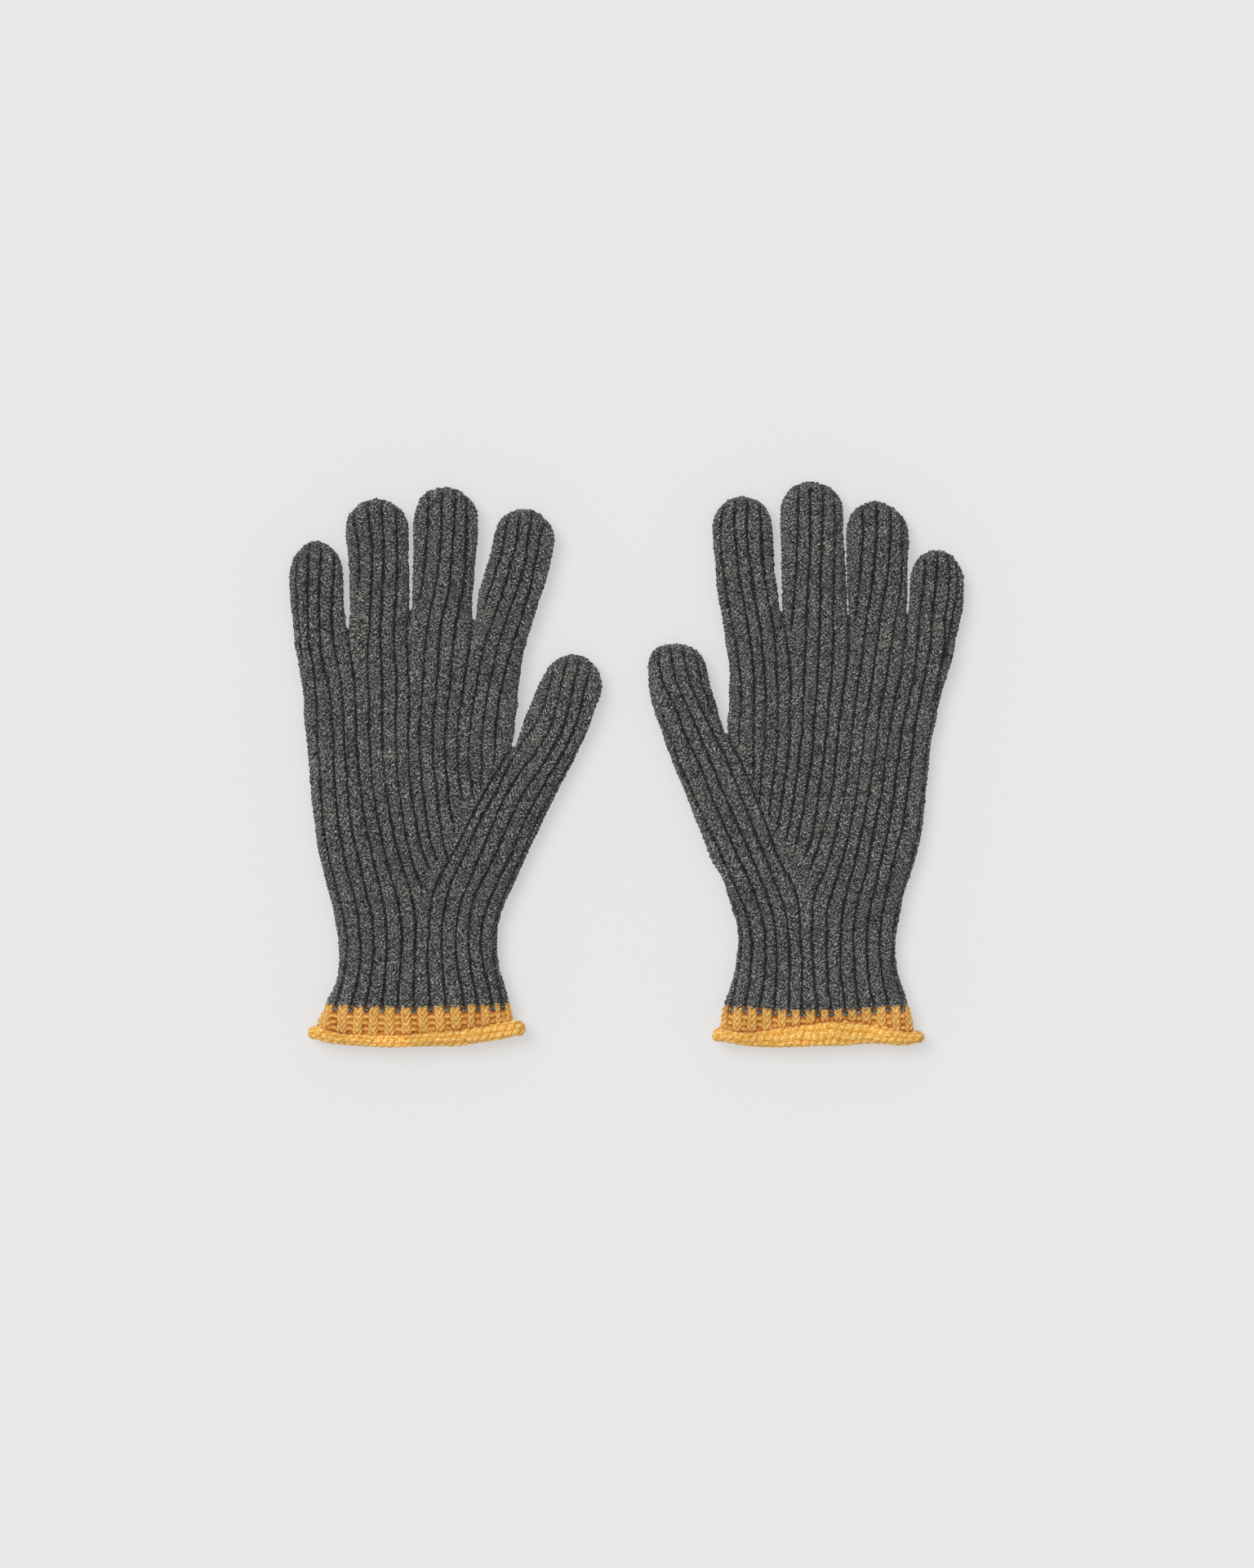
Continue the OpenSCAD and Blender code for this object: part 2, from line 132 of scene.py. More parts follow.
        (-55.8, 19.9), (-56.5, 9.4), (-57.2, 0)],
        [(-48.8, 8), (-52, 3.1), (-55.5, -2.4), (-59.3, -8.8), (-63.5, -16.8), (-66.7, -22.8), (-69.1, -27.6), (-73.7, -36.8), (-77.9, -44.1), (-81.4, -50.8),
        (-83.8, -58.8), (-84.9, -69.3), (-85.2, -79.8), (-85.2, -90.3), (-84.2, -102.5), (-83.1, -115.8)],
        [(-30.6, 45.8), (-31.7, 40.9), (-33.4, 33.9), (-35.9, 25.2), (-39, 17.8), (-43.6, 11.9), (-47.4, 5.6), (-50.9, -1), (-55.1, -9.8), (-59.7, -17.8),
        (-63.9, -25.5), (-68.8, -36.8), (-74.7, -49), (-77.5, -58.8), (-78.9, -67.5), (-79.3, -76.3), (-78.6, -92), (-77.5, -102.5), (-76.1, -115.8)],
        [(-25.4, 47.9), (-26.4, 40.9), (-28.2, 33.9), (-30.6, 23.4), (-33.8, 14), (-39.4, 5.2), (-46.7, -4.5), (-51.6, -12.2), (-55.8, -21), (-60, -31.5),
        (-64.6, -43), (-69.1, -53.5), (-71.9, -62.3), (-73.3, -74.5), (-72.3, -88.5), (-69.8, -102.5), (-69.5, -115.8)],
        [(-20.1, 47.9), (-21.2, 40.9), (-22.9, 33.9), (-25, 23.4), (-28.2, 14), (-34.1, 3.5), (-40.4, -6.3), (-46, -15), (-50.9, -25.5), (-55.1, -36),
        (-60.4, -46.5), (-65.3, -56.3), (-67.4, -67.5), (-67.7, -78), (-66.3, -90.3), (-63.9, -102.5), (-63.5, -115.8)],
        [(-15.2, 45.1), (-16.3, 39.2), (-17.7, 33.9), (-20.1, 23.4), (-22.9, 14.7), (-28.2, 4.2), (-34.8, -7), (-40.1, -16.8), (-45, -26.9), (-49.9, -38.8),
        (-55.1, -49.3), (-59.3, -59.1), (-61.8, -67.5), (-62.5, -78), (-60.4, -90.3), (-57.6, -102.5), (-56.9, -115.8)],
        [(-17, 14.7), (-22.6, 4.2), (-28.5, -6.3), (-34.8, -16.8), (-40.1, -26.9), (-44.6, -38.1), (-49.5, -48.6), (-53.7, -58.4), (-56.2, -67.5), (-57.2, -78),
        (-55.8, -90.3), (-53.4, -102.5), (-52.3, -115.8)],
    ],
    fading=[
        ([(-117.1, 110.9), (-116.7, 103.9), (-115.3, 95.2), (-114.6, 86.4), (-115.3, 74.2), (-117.4, 61.9)], 77.7, 61.9),
        ([(-84.9, 117.2), (-85.2, 105.7), (-85.9, 95.2), (-86.6, 86.4), (-87.7, 77.7), (-90.1, 67.2), (-92.6, 56.7)], 68.9, 53.2),
        ([(-50.9, 107.4), (-51.6, 102.2), (-53, 95.2), (-55.1, 86.4), (-57.9, 77.7), (-60.7, 68.9), (-64.2, 58.4)], 70.7, 56.7),
    ],
)

RIGHT = dict(
    outline=[
        (38.7, -115.1), (39.7, -110.2), (40.8, -105.3), (42.2, -101.1), (43.6, -96.9), (45, -92.8), (46, -88.5), (46.7, -83.6), (47.4, -78),
        (47.4, -72.4), (46.7, -67.5), (45.3, -63.3), (43.9, -58.4), (42.5, -54.2), (40.8, -49.3), (38.7, -45.1), (36.2, -41.6), (34.5, -37.4),
        (33.1, -33.6), (31, -27.6), (28.5, -22), (26.8, -17.1), (24.7, -11.5), (22.9, -7.3), (20.8, -2.4), (18.7, 3.1), (16.6, 8.8),
        (15.2, 13.6), (13.8, 17.1), (12.4, 20.6), (11, 24.8), (10, 29), (9.3, 33.2), (8.9, 38.1), (8.9, 43), (10, 47.2),
        (12.8, 50.4), (17, 51.8), (21.9, 52.1), (26.8, 51.1), (30.3, 49), (33.1, 45.5), (34.5, 40.9), (35.5, 36), (36.9, 31.1),
        (38.7, 25.5), (40.1, 19.9), (42.9, 13.3), (42.9, 18.5), (43.6, 24.8), (43.6, 31.8), (43.9, 38.1), (43.6, 45.1), (42.5, 50),
        (41.8, 55.6), (41.1, 60.5), (40.1, 66.8), (39, 71.8), (38.3, 76.6), (38, 82.9), (37.6, 88.5), (36.9, 94.1), (36.6, 99.8),
        (36.6, 103.9), (38.3, 108.5), (41.5, 112.7), (45.7, 114.8), (49.5, 115.5), (54.1, 114.4), (57.9, 112.7), (60.7, 108.8), (62.1, 104.6),
        (62.8, 98.7), (63.2, 91.7), (63.5, 83.6), (64.2, 78.8), (64.9, 73.8), (65.6, 69.6), (66.3, 66.1), (66.3, 71), (66.3, 78.8),
        (66, 84.7), (66, 93.4), (65.6, 101.1), (65.6, 106), (66, 111.6), (68.1, 116.5), (71.6, 119.7), (76.1, 121.4), (81.4, 121.4),
        (86.3, 119.7), (89.8, 117.2), (92.2, 113), (92.9, 107.4), (92.9, 100.4), (93.3, 94.5), (94, 82.9), (94.7, 68.9), (95, 64.8),
        (94.7, 68.9), (94.3, 82.9), (94, 94.5), (94, 100.4), (95, 105.3), (97.5, 109.5), (101.7, 112.3), (106.6, 113.7), (111.5, 112),
        (115.7, 109.5), (118.8, 106.4), (120.6, 102.2), (121.3, 96.2), (120.9, 91.3), (120.6, 86.4), (120.6, 80.8), (120.6, 75.9), (120.6, 68.9),
        (120.2, 64.8), (120.9, 70.7), (121.3, 77.3), (122, 82.9), (123.7, 87.5), (126.5, 90.3), (130.4, 92), (135.3, 92), (139.1, 90.3),
        (141.9, 87.5), (143.7, 83.6), (144.7, 79.1), (144.7, 73.1), (144.4, 67.5), (143.3, 62.6), (142.3, 57.7), (141.2, 52.8), (140.2, 47.2),
        (138.8, 42.3), (137, 37.1), (135.6, 32.2), (134.2, 26.9), (133.5, 22.8), (132.5, 17.8), (131.1, 12.2), (130.4, 6.6), (129.7, -0.3),
        (129, -6.6), (128.3, -13.6), (127.6, -20.6), (126.9, -26.9), (125.8, -33.2), (124.4, -38.8), (122.7, -44.4), (120.6, -50.8), (118.8, -56.3),
        (117.8, -61.9), (116.7, -67.5), (115.7, -73.1), (115.3, -79.4), (115.7, -84.3), (116.7, -89.9), (118.5, -95.5), (120.2, -101.1), (122, -105.3),
        (123, -110.2), (123.7, -115.1)
    ],
    folds=[
        ([(66, 69.6), (66.7, 64.8), (67.7, 60.2), (68.4, 53.2), (69.8, 40.9), (69.8, 30.4)], 64.8, 39.2),
        ([(94.3, 70.7), (95, 61.9), (95, 51.4), (94, 40.9), (92.9, 30.4)], 56.7, 35.7),
        ([(120.6, 70.7), (120.2, 63.7), (119.9, 56.7), (118.8, 46.2), (116.7, 35.7), (115, 30.4)], 54.2, 35.7),
        ([(42.2, 15.4), (43.9, 11.5), (46.7, 5.6), (49.5, -0.3), (52.3, -7)], 11.2, -2.8),
    ],
    grooves=[
        [(140.9, 87.8), (141.6, 77.7), (139.8, 65.5), (137.4, 51.4), (134.6, 38.8), (132.5, 26.9), (130.4, 16.4), (128.6, 7.7), (127.6, -4.5), (126.2, -16.8),
        (124.8, -29), (122, -41.3), (118.8, -51.8), (115.7, -62.3), (114.3, -73.5), (114.3, -85), (116.4, -95.5), (118.1, -102.5), (118.5, -115.8)],
        [(132.5, 93.4), (132.8, 82.9), (131.8, 72.4), (130.7, 61.9), (130, 51.4), (128.3, 40.9), (126.2, 30.4), (123.7, 19.9), (122.3, 9.4), (121.3, -1),
        (120.2, -11.5), (118.5, -22), (116.4, -32.5), (113.9, -43), (111.5, -53.5), (109.4, -64), (108.3, -74.5), (108.7, -85), (110.1, -95.5), (111.8, -102.5),
        (112.9, -115.8)],
        [(127.9, 92), (127.6, 82.9), (126.5, 72.4), (125.1, 60.2), (124.4, 49.7), (123.4, 40.9), (121.3, 30.4), (118.8, 19.9), (117.1, 9.4), (115.7, -1),
        (114.6, -11.5), (112.9, -22), (110.8, -32.5), (108.3, -43), (105.9, -53.5), (103.8, -64), (102.7, -74.5), (103.1, -85), (104.1, -95.5), (105.5, -102.5),
        (106.2, -115.8)],
        [(120.2, 64.8), (119.5, 54.9), (118.1, 42.7), (115.3, 30.4), (113.2, 19.9), (111.8, 9.4), (110.4, -1), (109, -11.5), (106.9, -22), (104.8, -32.5),
        (103.1, -43), (100.3, -53.5), (97.8, -64), (97.1, -74.5), (97.5, -85), (98.2, -95.5), (99.2, -102.5), (99.9, -115.8)],
        [(116.4, 111.6), (117.8, 103.9), (118.1, 95.2), (117.8, 82.9), (116.7, 72.4), (115, 61.9), (113.2, 51.4), (111.8, 40.9), (109.7, 30.4), (108, 19.9),
        (106.9, 9.4), (105.2, -1), (103.8, -11.5), (102, -22), (99.6, -32.5), (97.1, -43), (94.3, -53.5), (92.2, -64), (91.5, -74.5), (91.5, -85),
        (92.2, -95.5), (93.3, -102.5), (94, -115.8)],
        [(112.2, 113.7), (112.9, 105.7), (112.9, 96.9), (112.2, 86.4), (110.8, 75.9), (108.7, 63.7), (106.9, 51.4), (105.5, 40.9), (104.1, 30.4), (102.7, 19.9),
        (101.3, 9.4), (99.9, -1), (98.5, -11.5), (96.4, -22), (94.3, -32.5), (91.5, -43), (88.4, -53.5), (85.9, -62.3), (85.6, -74.5), (85.6, -85),
        (86.3, -95.5), (87.3, -102.5), (88, -115.8)],
        [(106.6, 115.1), (106.9, 105.7), (106.9, 96.9), (105.9, 86.4), (104.8, 75.9), (102.7, 63.7), (101.3, 51.4), (99.9, 40.9), (98.5, 30.4), (97.1, 19.9),
        (95.7, 9.4), (95, -1), (93.6, -11.5), (91.2, -22), (88.7, -32.5), (85.6, -43.8), (81.7, -52.5), (79.6, -60.5), (79.3, -74.5), (80, -85),
        (80.7, -95.5), (81.7, -102.5), (82.1, -115.8)],
        [(95, 60.2), (95, 51.4), (94, 40.9), (92.6, 30.4), (91.2, 19.9), (90.1, 9.4), (89.1, -1), (87.7, -11.5), (85.6, -22), (82.8, -32.5),
        (78.6, -44.4)],
        [(88.7, 119.3), (89.1, 107.4), (89.1, 96.9), (88.7, 82.9), (88.4, 68.9), (88.4, 51.4), (87.7, 40.9), (87, 30.4), (85.9, 19.9), (84.9, 9.4),
        (83.8, -1), (82.4, -11.5), (81, -22), (78.9, -31.8), (76.1, -39.5)],
        [(83.8, 122.1), (83.8, 107.4), (83.8, 96.9), (83.1, 82.9), (82.8, 68.9), (82.4, 51.4), (81.7, 37.4), (81, 26.9), (80.3, 18.2), (79.6, 9.4),
        (78.6, -1), (76.8, -11.5), (75.1, -22), (72.6, -33.2)],
        [(78.6, 122.8), (78.6, 107.4), (78.6, 96.9), (77.9, 82.9), (77.2, 68.9), (76.5, 51.4), (75.8, 37.4), (75.4, 26.9), (75.1, 18.2), (74.4, 9.4),
        (73.3, -1), (71.9, -11.5), (70.2, -22.8), (68.1, -31.8)],
        [(66.3, 66.1), (67.4, 60.2), (68.4, 53.2), (69.5, 44.4), (70.2, 33.9), (69.8, 19.9), (69.5, 9.4), (68.4, -1), (67, -11.5), (65.6, -20.3),
        (64.6, -26.2)],
        [(56.9, 114.4), (57.2, 105.7), (57.6, 96.9), (58.6, 82.9), (60.7, 70.7), (62.8, 58.4), (63.9, 47.9), (64.2, 37.4), (64.6, 26.9), (64.6, 16.4),
        (64.2, 7.7), (63.2, -2.8), (61.8, -13.3), (60.7, -22)],
        [(52, 115.8), (51.3, 105.7), (51.6, 96.9), (53, 82.9), (55.1, 68.9), (57.2, 56.7), (58.3, 46.2), (59.3, 35.7), (59.7, 26.9), (59.3, 18.2),
        (59, 9.4), (57.9, -1), (56.9, -15.7)],
        [(47.1, 115.1), (46, 105.7), (46.4, 96.9), (47.8, 82.9), (50.2, 68.9), (52.3, 56.7), (53.7, 46.2), (54.4, 35.7), (54.4, 26.9), (54.1, 18.2),
        (54.1, 7.7), (54.4, -2.8), (53.7, -9.4)],
        [(41.8, 113), (40.4, 105.7), (39.7, 96.9), (41.5, 82.9), (43.6, 68.9), (45.7, 56.7), (47.8, 46.2), (48.8, 35.7), (48.8, 26.9), (48.1, 18.2),
        (48.1, 8.8)],
        [(42.9, 13.3), (46, 7), (49.5, -0.3), (52.3, -7), (54.4, -12.2), (56.9, -18.5), (59.3, -24.8), (61.4, -30.8), (63.9, -37.8), (66.7, -43.8),
        (70.9, -50.8), (73.3, -57.7), (74, -67.5), (74.7, -78.8), (75.1, -90.3), (75.1, -102.5), (75.8, -115.8)],
        [(23.6, 51.4), (25, 43.8), (27.1, 35.7), (29.9, 28.7), (33.1, 21.7), (38.3, 11.2), (43.9, 0), (48.1, -10.8), (52.3, -22), (56.2, -32.5),
        (60.7, -43), (64.9, -53.5), (68.1, -64), (69.5, -74.5), (69.8, -85), (69.5, -102.5), (69.5, -115.8)],
        [(18.7, 52.1), (19.4, 44.4), (21.2, 35.7), (24.3, 28.7), (27.5, 21.7), (32, 10.5), (36.6, -0.3), (41.1, -11.5), (45.7, -22), (50.6, -32.5),
        (55.1, -43), (59.3, -53.5), (62.5, -64), (63.9, -74.5), (64.2, -85), (63.5, -102.5), (63.5, -115.8)],
        [(13.8, 50.8), (13.8, 43.8), (15.6, 35.7), (18.7, 28.7), (21.9, 21.7), (26.1, 10.1), (31.7, -1), (35.5, -11.5), (40.1, -22), (44.6, -32.5),
        (49.5, -43), (54.4, -53.5), (57.6, -64), (59, -74.5), (59.3, -85), (58.3, -95.5), (56.9, -102.5), (56.9, -115.8)],
        [(15.2, 21.3), (19.1, 10.1), (23.3, -1), (27.8, -11.5), (32.4, -22), (37.6, -32.5), (42.2, -43), (47.1, -53.5), (51.3, -64), (53.4, -74.5),
        (53.4, -85), (52, -95.5), (50.6, -102.5), (50.2, -115.8)],
        [(20.8, -6.3), (24.7, -16.8), (29.2, -27.3), (33.8, -37.1), (37.6, -45.1), (42.2, -52.1), (45.7, -59.8), (47.8, -65.8), (48.8, -74.5), (48.1, -85),
        (46.4, -95.5), (44.6, -102.5), (43.9, -115.8)],
    ],
    fading=[
        ([(28.5, 50), (30.3, 43.8), (32, 35.7), (35.2, 26.2), (39, 18.2)], 23.4, 15.7),
        ([(73.3, 121.4), (73.3, 107.4), (73, 96.9), (72.6, 82.9), (71.6, 70.7), (70.5, 58.4), (69.5, 47.9)], 61.9, 47.9),
        ([(100.6, 112.3), (101.3, 103.9), (101.3, 96.9), (100.3, 86.4), (99.2, 75.9), (97.8, 63.7), (96.1, 51.4)], 63.7, 49.7),
        ([(137.4, 91.3), (138.1, 82.9), (137.7, 74.2), (136.3, 61.9), (136, 51.4), (134.2, 40.9), (131.8, 30.4), (129.3, 19.9), (126.9, 9.4)], 26.9, 7.7),
    ],
)

LEFT.update(
    side="left",
    # middle lines of the gaps between little/ring, ring/middle and middle/index fingers
    gaps=[
        [(-119.9, 40), (-119.9, 58.8), (-120.2, 70), (-120.6, 83), (-122.5, 92), (-126, 105)],
        [(-93, 40), (-93, 67), (-92.6, 83), (-92.6, 100), (-93.4, 110), (-96, 122)],
        [(-66, 40), (-65.8, 62), (-64.6, 75), (-62, 86.5), (-60.6, 97), (-60, 107), (-60.3, 125)],
    ],
    order=["little", "ring", "middle", "index"],
    thumb_gap=[(-48.6, 7), (-46, 20), (-42.5, 34), (-35.9, 48), (-33, 60)],
    # centre line and radius of the rolled edge: x, y, radius
    sag=[(-131, 1.0), (-122, 0), (-90, -0.3), (-60, 0.3), (-52, 1.0)],   # how far the yellow's upper edge strays from level
    roll=[(-132.7, -114.4, 2.7), (-128.6, -116, 2.9), (-118, -117.7, 2.5), (-107.6, -118.2, 2.4), (-90.1, -117.7, 2.8),
          (-72.6, -116.5, 3.4), (-55.1, -114.1, 3.7), (-48.2, -112.5, 3.2)],
)
RIGHT.update(
    side="right",
    gaps=[
        [(66.5, 40), (66.3, 66), (66, 80), (65.6, 97), (64, 108), (62, 120)],
        [(95, 40), (94.9, 60), (94.3, 80), (94, 94), (93.9, 104), (95, 118)],
        [(120.2, 40), (120.4, 64), (120.8, 79), (122.5, 88), (125.5, 97), (128, 106)],
    ],
    order=["index", "middle", "ring", "little"],
    thumb_gap=[(42.9, 12), (41.2, 20), (39.5, 30), (37, 44), (33, 62)],
    sag=[(43, 0), (52, -0.4), (68, -1.9), (84, -2.1), (100, -0.9), (112, 0), (122, 0.4)],
    roll=[(41, -115.6, 2.7), (50, -117, 2.8), (58.6, -117.1, 3.5), (67.4, -116.4, 4.3), (76.1, -115.7, 4.9), (84.9, -114.7, 5.4),
          (93.6, -114.4, 5.4), (102.4, -114.8, 4.7), (111.1, -115.9, 3.5), (119.9, -117, 2.8), (123.6, -116.3, 2.5)],
)

H = 0.4            # mesh step
RIM = 6.2          # how far the edge's rounding reaches in
WALE = 2.75        # half of a rib's width
DEPTH = 1.85       # how deep a groove is
ROW = 1.95         # height of one grey stitch
BAND_ROW = 2.6     # height of one yellow stitch
SLANT = 0.95       # how steeply a grey stitch's legs rise
STEEP = 1.5        # how steeply a yellow stitch's legs rise
TROUGH = 1.38      # half of the purl trough between the yellow columns
MID = 5.3          # height of the glove's middle
BAND_Y = 1000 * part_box("left_wrist_rib")[0].y      # lower end of the grey wrist
CUT_Y = -116.8     # where the band's tube ends inside the roll
WRIST_TOP = -60.0


def smoothstep(a, b, x):
    t = np.clip((x - a) / (b - a), 0, 1)
    return t * t * (3 - 2 * t)


def resample(pts, step, closed=False):
    """A smooth line through the points, with a point about every step."""
    p = np.array(pts, float)
    if closed:
        q = np.vstack([p[-1], p, p[0], p[1]])
    else:
        q = np.vstack([2 * p[0] - p[1], p, 2 * p[-1] - p[-2]])
    out = []
    for i in range(1, len(q) - 2):
        a, b, c, d = q[i - 1], q[i], q[i + 1], q[i + 2]
        n = max(1, int(round(np.linalg.norm(c - b) / step)))
        for t in np.arange(n) / n:
            m1, m2 = (c - a) / 2, (d - b) / 2
            out.append(b * (2 * t**3 - 3 * t**2 + 1) + m1 * (t**3 - 2 * t**2 + t) + c * (3 * t**2 - 2 * t**3) + m2 * (t**3 - t**2))
    if not closed:
        out.append(p[-1])
    return np.array(out)


def line_distance(gx, gy, line, reach, closed=False, lift=None):
    """Distance from each grid point to a line, up to reach, and the nearest point on it."""
    dist = np.full((len(gx), len(gy)), reach, np.float32)
    near = np.zeros((len(gx), len(gy), 2), np.float32)
    ends = np.vstack([line, line[:1]]) if closed else line
    x0, y0 = gx[0], gy[0]
    for a, b in zip(ends[:-1], ends[1:]):
        i0 = max(0, int((min(a[0], b[0]) - reach - x0) / H))
        i1 = min(len(gx), int((max(a[0], b[0]) + reach - x0) / H) + 2)
        j0 = max(0, int((min(a[1], b[1]) - reach - y0) / H))
        j1 = min(len(gy), int((max(a[1], b[1]) + reach - y0) / H) + 2)
        if i0 >= i1 or j0 >= j1:
            continue
        X, Y = gx[i0:i1, None], gy[None, j0:j1]
        d = b - a
        t = np.clip(((X - a[0]) * d[0] + (Y - a[1]) * d[1]) / max(d @ d, 1e-9), 0, 1)
        px, py = a[0] + t * d[0], a[1] + t * d[1]
        e = np.hypot(X - px, Y - py)
        sub = dist[i0:i1, j0:j1]
        win = e < sub
        sub[win] = e[win]
        near[i0:i1, j0:j1, 0][win] = px[win]
        near[i0:i1, j0:j1, 1][win] = py[win]
    return dist, near


def inside_outline(gx, gy, poly):
    ins = np.zeros((len(gx), len(gy)), bool)
    ends = np.vstack([poly, poly[:1]])
    for a, b in zip(ends[:-1], ends[1:]):
        lo, hi = (a, b) if a[1] < b[1] else (b, a)
        j0, j1 = np.searchsorted(gy, lo[1]), np.searchsorted(gy, hi[1])
        for j in range(j0, j1):
            x = lo[0] + (hi[0] - lo[0]) * (gy[j] - lo[1]) / (hi[1] - lo[1])
            ins[np.searchsorted(gx, x):, j] ^= True
    return ins


def waves(seed, n, wavelength):
    """A smooth irregular height, made of a few sine waves: returns f(x, y) of about -1 to 1."""
    r = np.random.default_rng(seed)
    k = [(2 * math.pi / (wavelength * r.uniform(0.7, 1.5)), r.uniform(0, 2 * math.pi), r.uniform(0, 2 * math.pi)) for _ in range(n)]

    def f(x, y):
        s = 0
        for w, a, ph in k:
            s = s + np.sin(w * (x * math.cos(a) + y * math.sin(a)) + ph)
        return s / math.sqrt(n)

    return f


def blur(A, width, axis):
    """A running mean along one axis."""
    half = max(1, width // 2)
    pad = [(0, 0)] * A.ndim
    pad[axis] = (half + 1, half)
    S = np.cumsum(np.pad(A, pad, mode="edge"), axis=axis)
    hi, lo = [slice(None)] * A.ndim, [slice(None)] * A.ndim
    hi[axis], lo[axis] = slice(2 * half + 1, None), slice(0, -(2 * half + 1))
    return (S[tuple(hi)] - S[tuple(lo)]) / (2 * half + 1)


def nets(F, origin, h):
    """The zero surface of a sampled field as quads, one vertex per crossed cell."""
    I = F < 0
    c = np.array(F.shape) - 1
    ids, pos, quads = [], [], []
    for ax in range(3):
        a, b = [slice(None)] * 3, [slice(None)] * 3
        a[ax], b[ax] = slice(0, -1), slice(1, None)
        A, B = I[tuple(a)], I[tuple(b)]
        idx = np.nonzero(A != B)
        f0, f1 = F[tuple(a)][idx], F[tuple(b)][idx]
        p = np.stack(idx, 1).astype(np.float32)
        p[:, ax] += f0 / (f0 - f1)
        inner = A[idx]
        u, w = (ax + 1) % 3, (ax + 2) % 3
        ok = (idx[u] > 0) & (idx[u] < c[u]) & (idx[w] > 0) & (idx[w] < c[w])
        idx = [q[ok] for q in idx]
        p, inner = p[ok], inner[ok]
        four = []
        for du, dw in ((-1, -1), (0, -1), (0, 0), (-1, 0)):
            q = list(idx)
            q[u], q[w] = q[u] + du, q[w] + dw
            n = (q[0] * c[1] + q[1]) * c[2] + q[2]
            four.append(n)
            ids.append(n)
            pos.append(p)
        four = np.stack(four, 1)
        four[~inner] = four[~inner][:, ::-1]
        quads.append(four)
    ids, pos, quads = np.concatenate(ids), np.concatenate(pos), np.concatenate(quads)
    uniq, inv = np.unique(ids, return_inverse=True)
    cnt = np.bincount(inv)
    V = np.stack([np.bincount(inv, pos[:, k]) / cnt for k in range(3)], 1)
    Q = np.searchsorted(uniq, quads)

    def sample(P):
        i = np.clip(P.astype(int), 0, np.array(F.shape) - 2)
        f = P - i
        s = 0
        for dx in (0, 1):
            for dy in (0, 1):
                for dz in (0, 1):
                    wgt = (f[:, 0] if dx else 1 - f[:, 0]) * (f[:, 1] if dy else 1 - f[:, 1]) * (f[:, 2] if dz else 1 - f[:, 2])
                    s = s + wgt * F[i[:, 0] + dx, i[:, 1] + dy, i[:, 2] + dz]
        return s

    g = np.stack([sample(V + e) - sample(V - e) for e in 0.5 * np.eye(3)], 1)
    step = -sample(V)[:, None] * g / np.maximum((g * g).sum(1), 1e-4)[:, None]
    n = np.linalg.norm(step, axis=1, keepdims=True)
    V = V + step * np.minimum(1, 0.45 / np.maximum(n, 1e-9))
    return origin + h * V, Q


def vertex_normals(V, Q):
    n = np.cross(V[Q[:, 2]] - V[Q[:, 0]], V[Q[:, 3]] - V[Q[:, 1]])
    out = np.zeros_like(V)
    for k in range(4):
        for ax in range(3):
            out[:, ax] += np.bincount(Q[:, k], n[:, ax], len(V))
    return out / np.maximum(np.linalg.norm(out, axis=1, keepdims=True), 1e-12)


def make_object(name, V, Q, N, attrs, material):
    """A mesh object in metres from millimetre points."""
    used, inv = np.unique(Q, return_inverse=True)
    Q = inv.reshape(Q.shape)
    me = bpy.data.meshes.new(name)
    me.vertices.add(len(used))
    me.vertices.foreach_set("co", (V[used] / 1000).astype(np.float32).ravel())
    me.loops.add(Q.size)
    me.loops.foreach_set("vertex_index", Q.astype(np.int32).ravel())
    me.polygons.add(len(Q))
    me.polygons.foreach_set("loop_start", np.arange(0, Q.size, Q.shape[1], dtype=np.int32))
    me.update(calc_edges=True)
    me.validate()
    me.shade_smooth()
    rest = me.attributes.new("rest", "FLOAT_VECTOR", "POINT")
    rest.data.foreach_set("vector", V[used].astype(np.float32).ravel())
    for key, val in attrs.items():
        at = me.attributes.new(key, "FLOAT", "POINT")
        at.data.foreach_set("value", val[used].astype(np.float32))
    me.normals_split_custom_set_from_vertices(N[used].tolist())
    me.materials.append(material)
    ob = bpy.data.objects.new(name, me)
    bpy.context.scene.collection.objects.link(ob)
    return ob


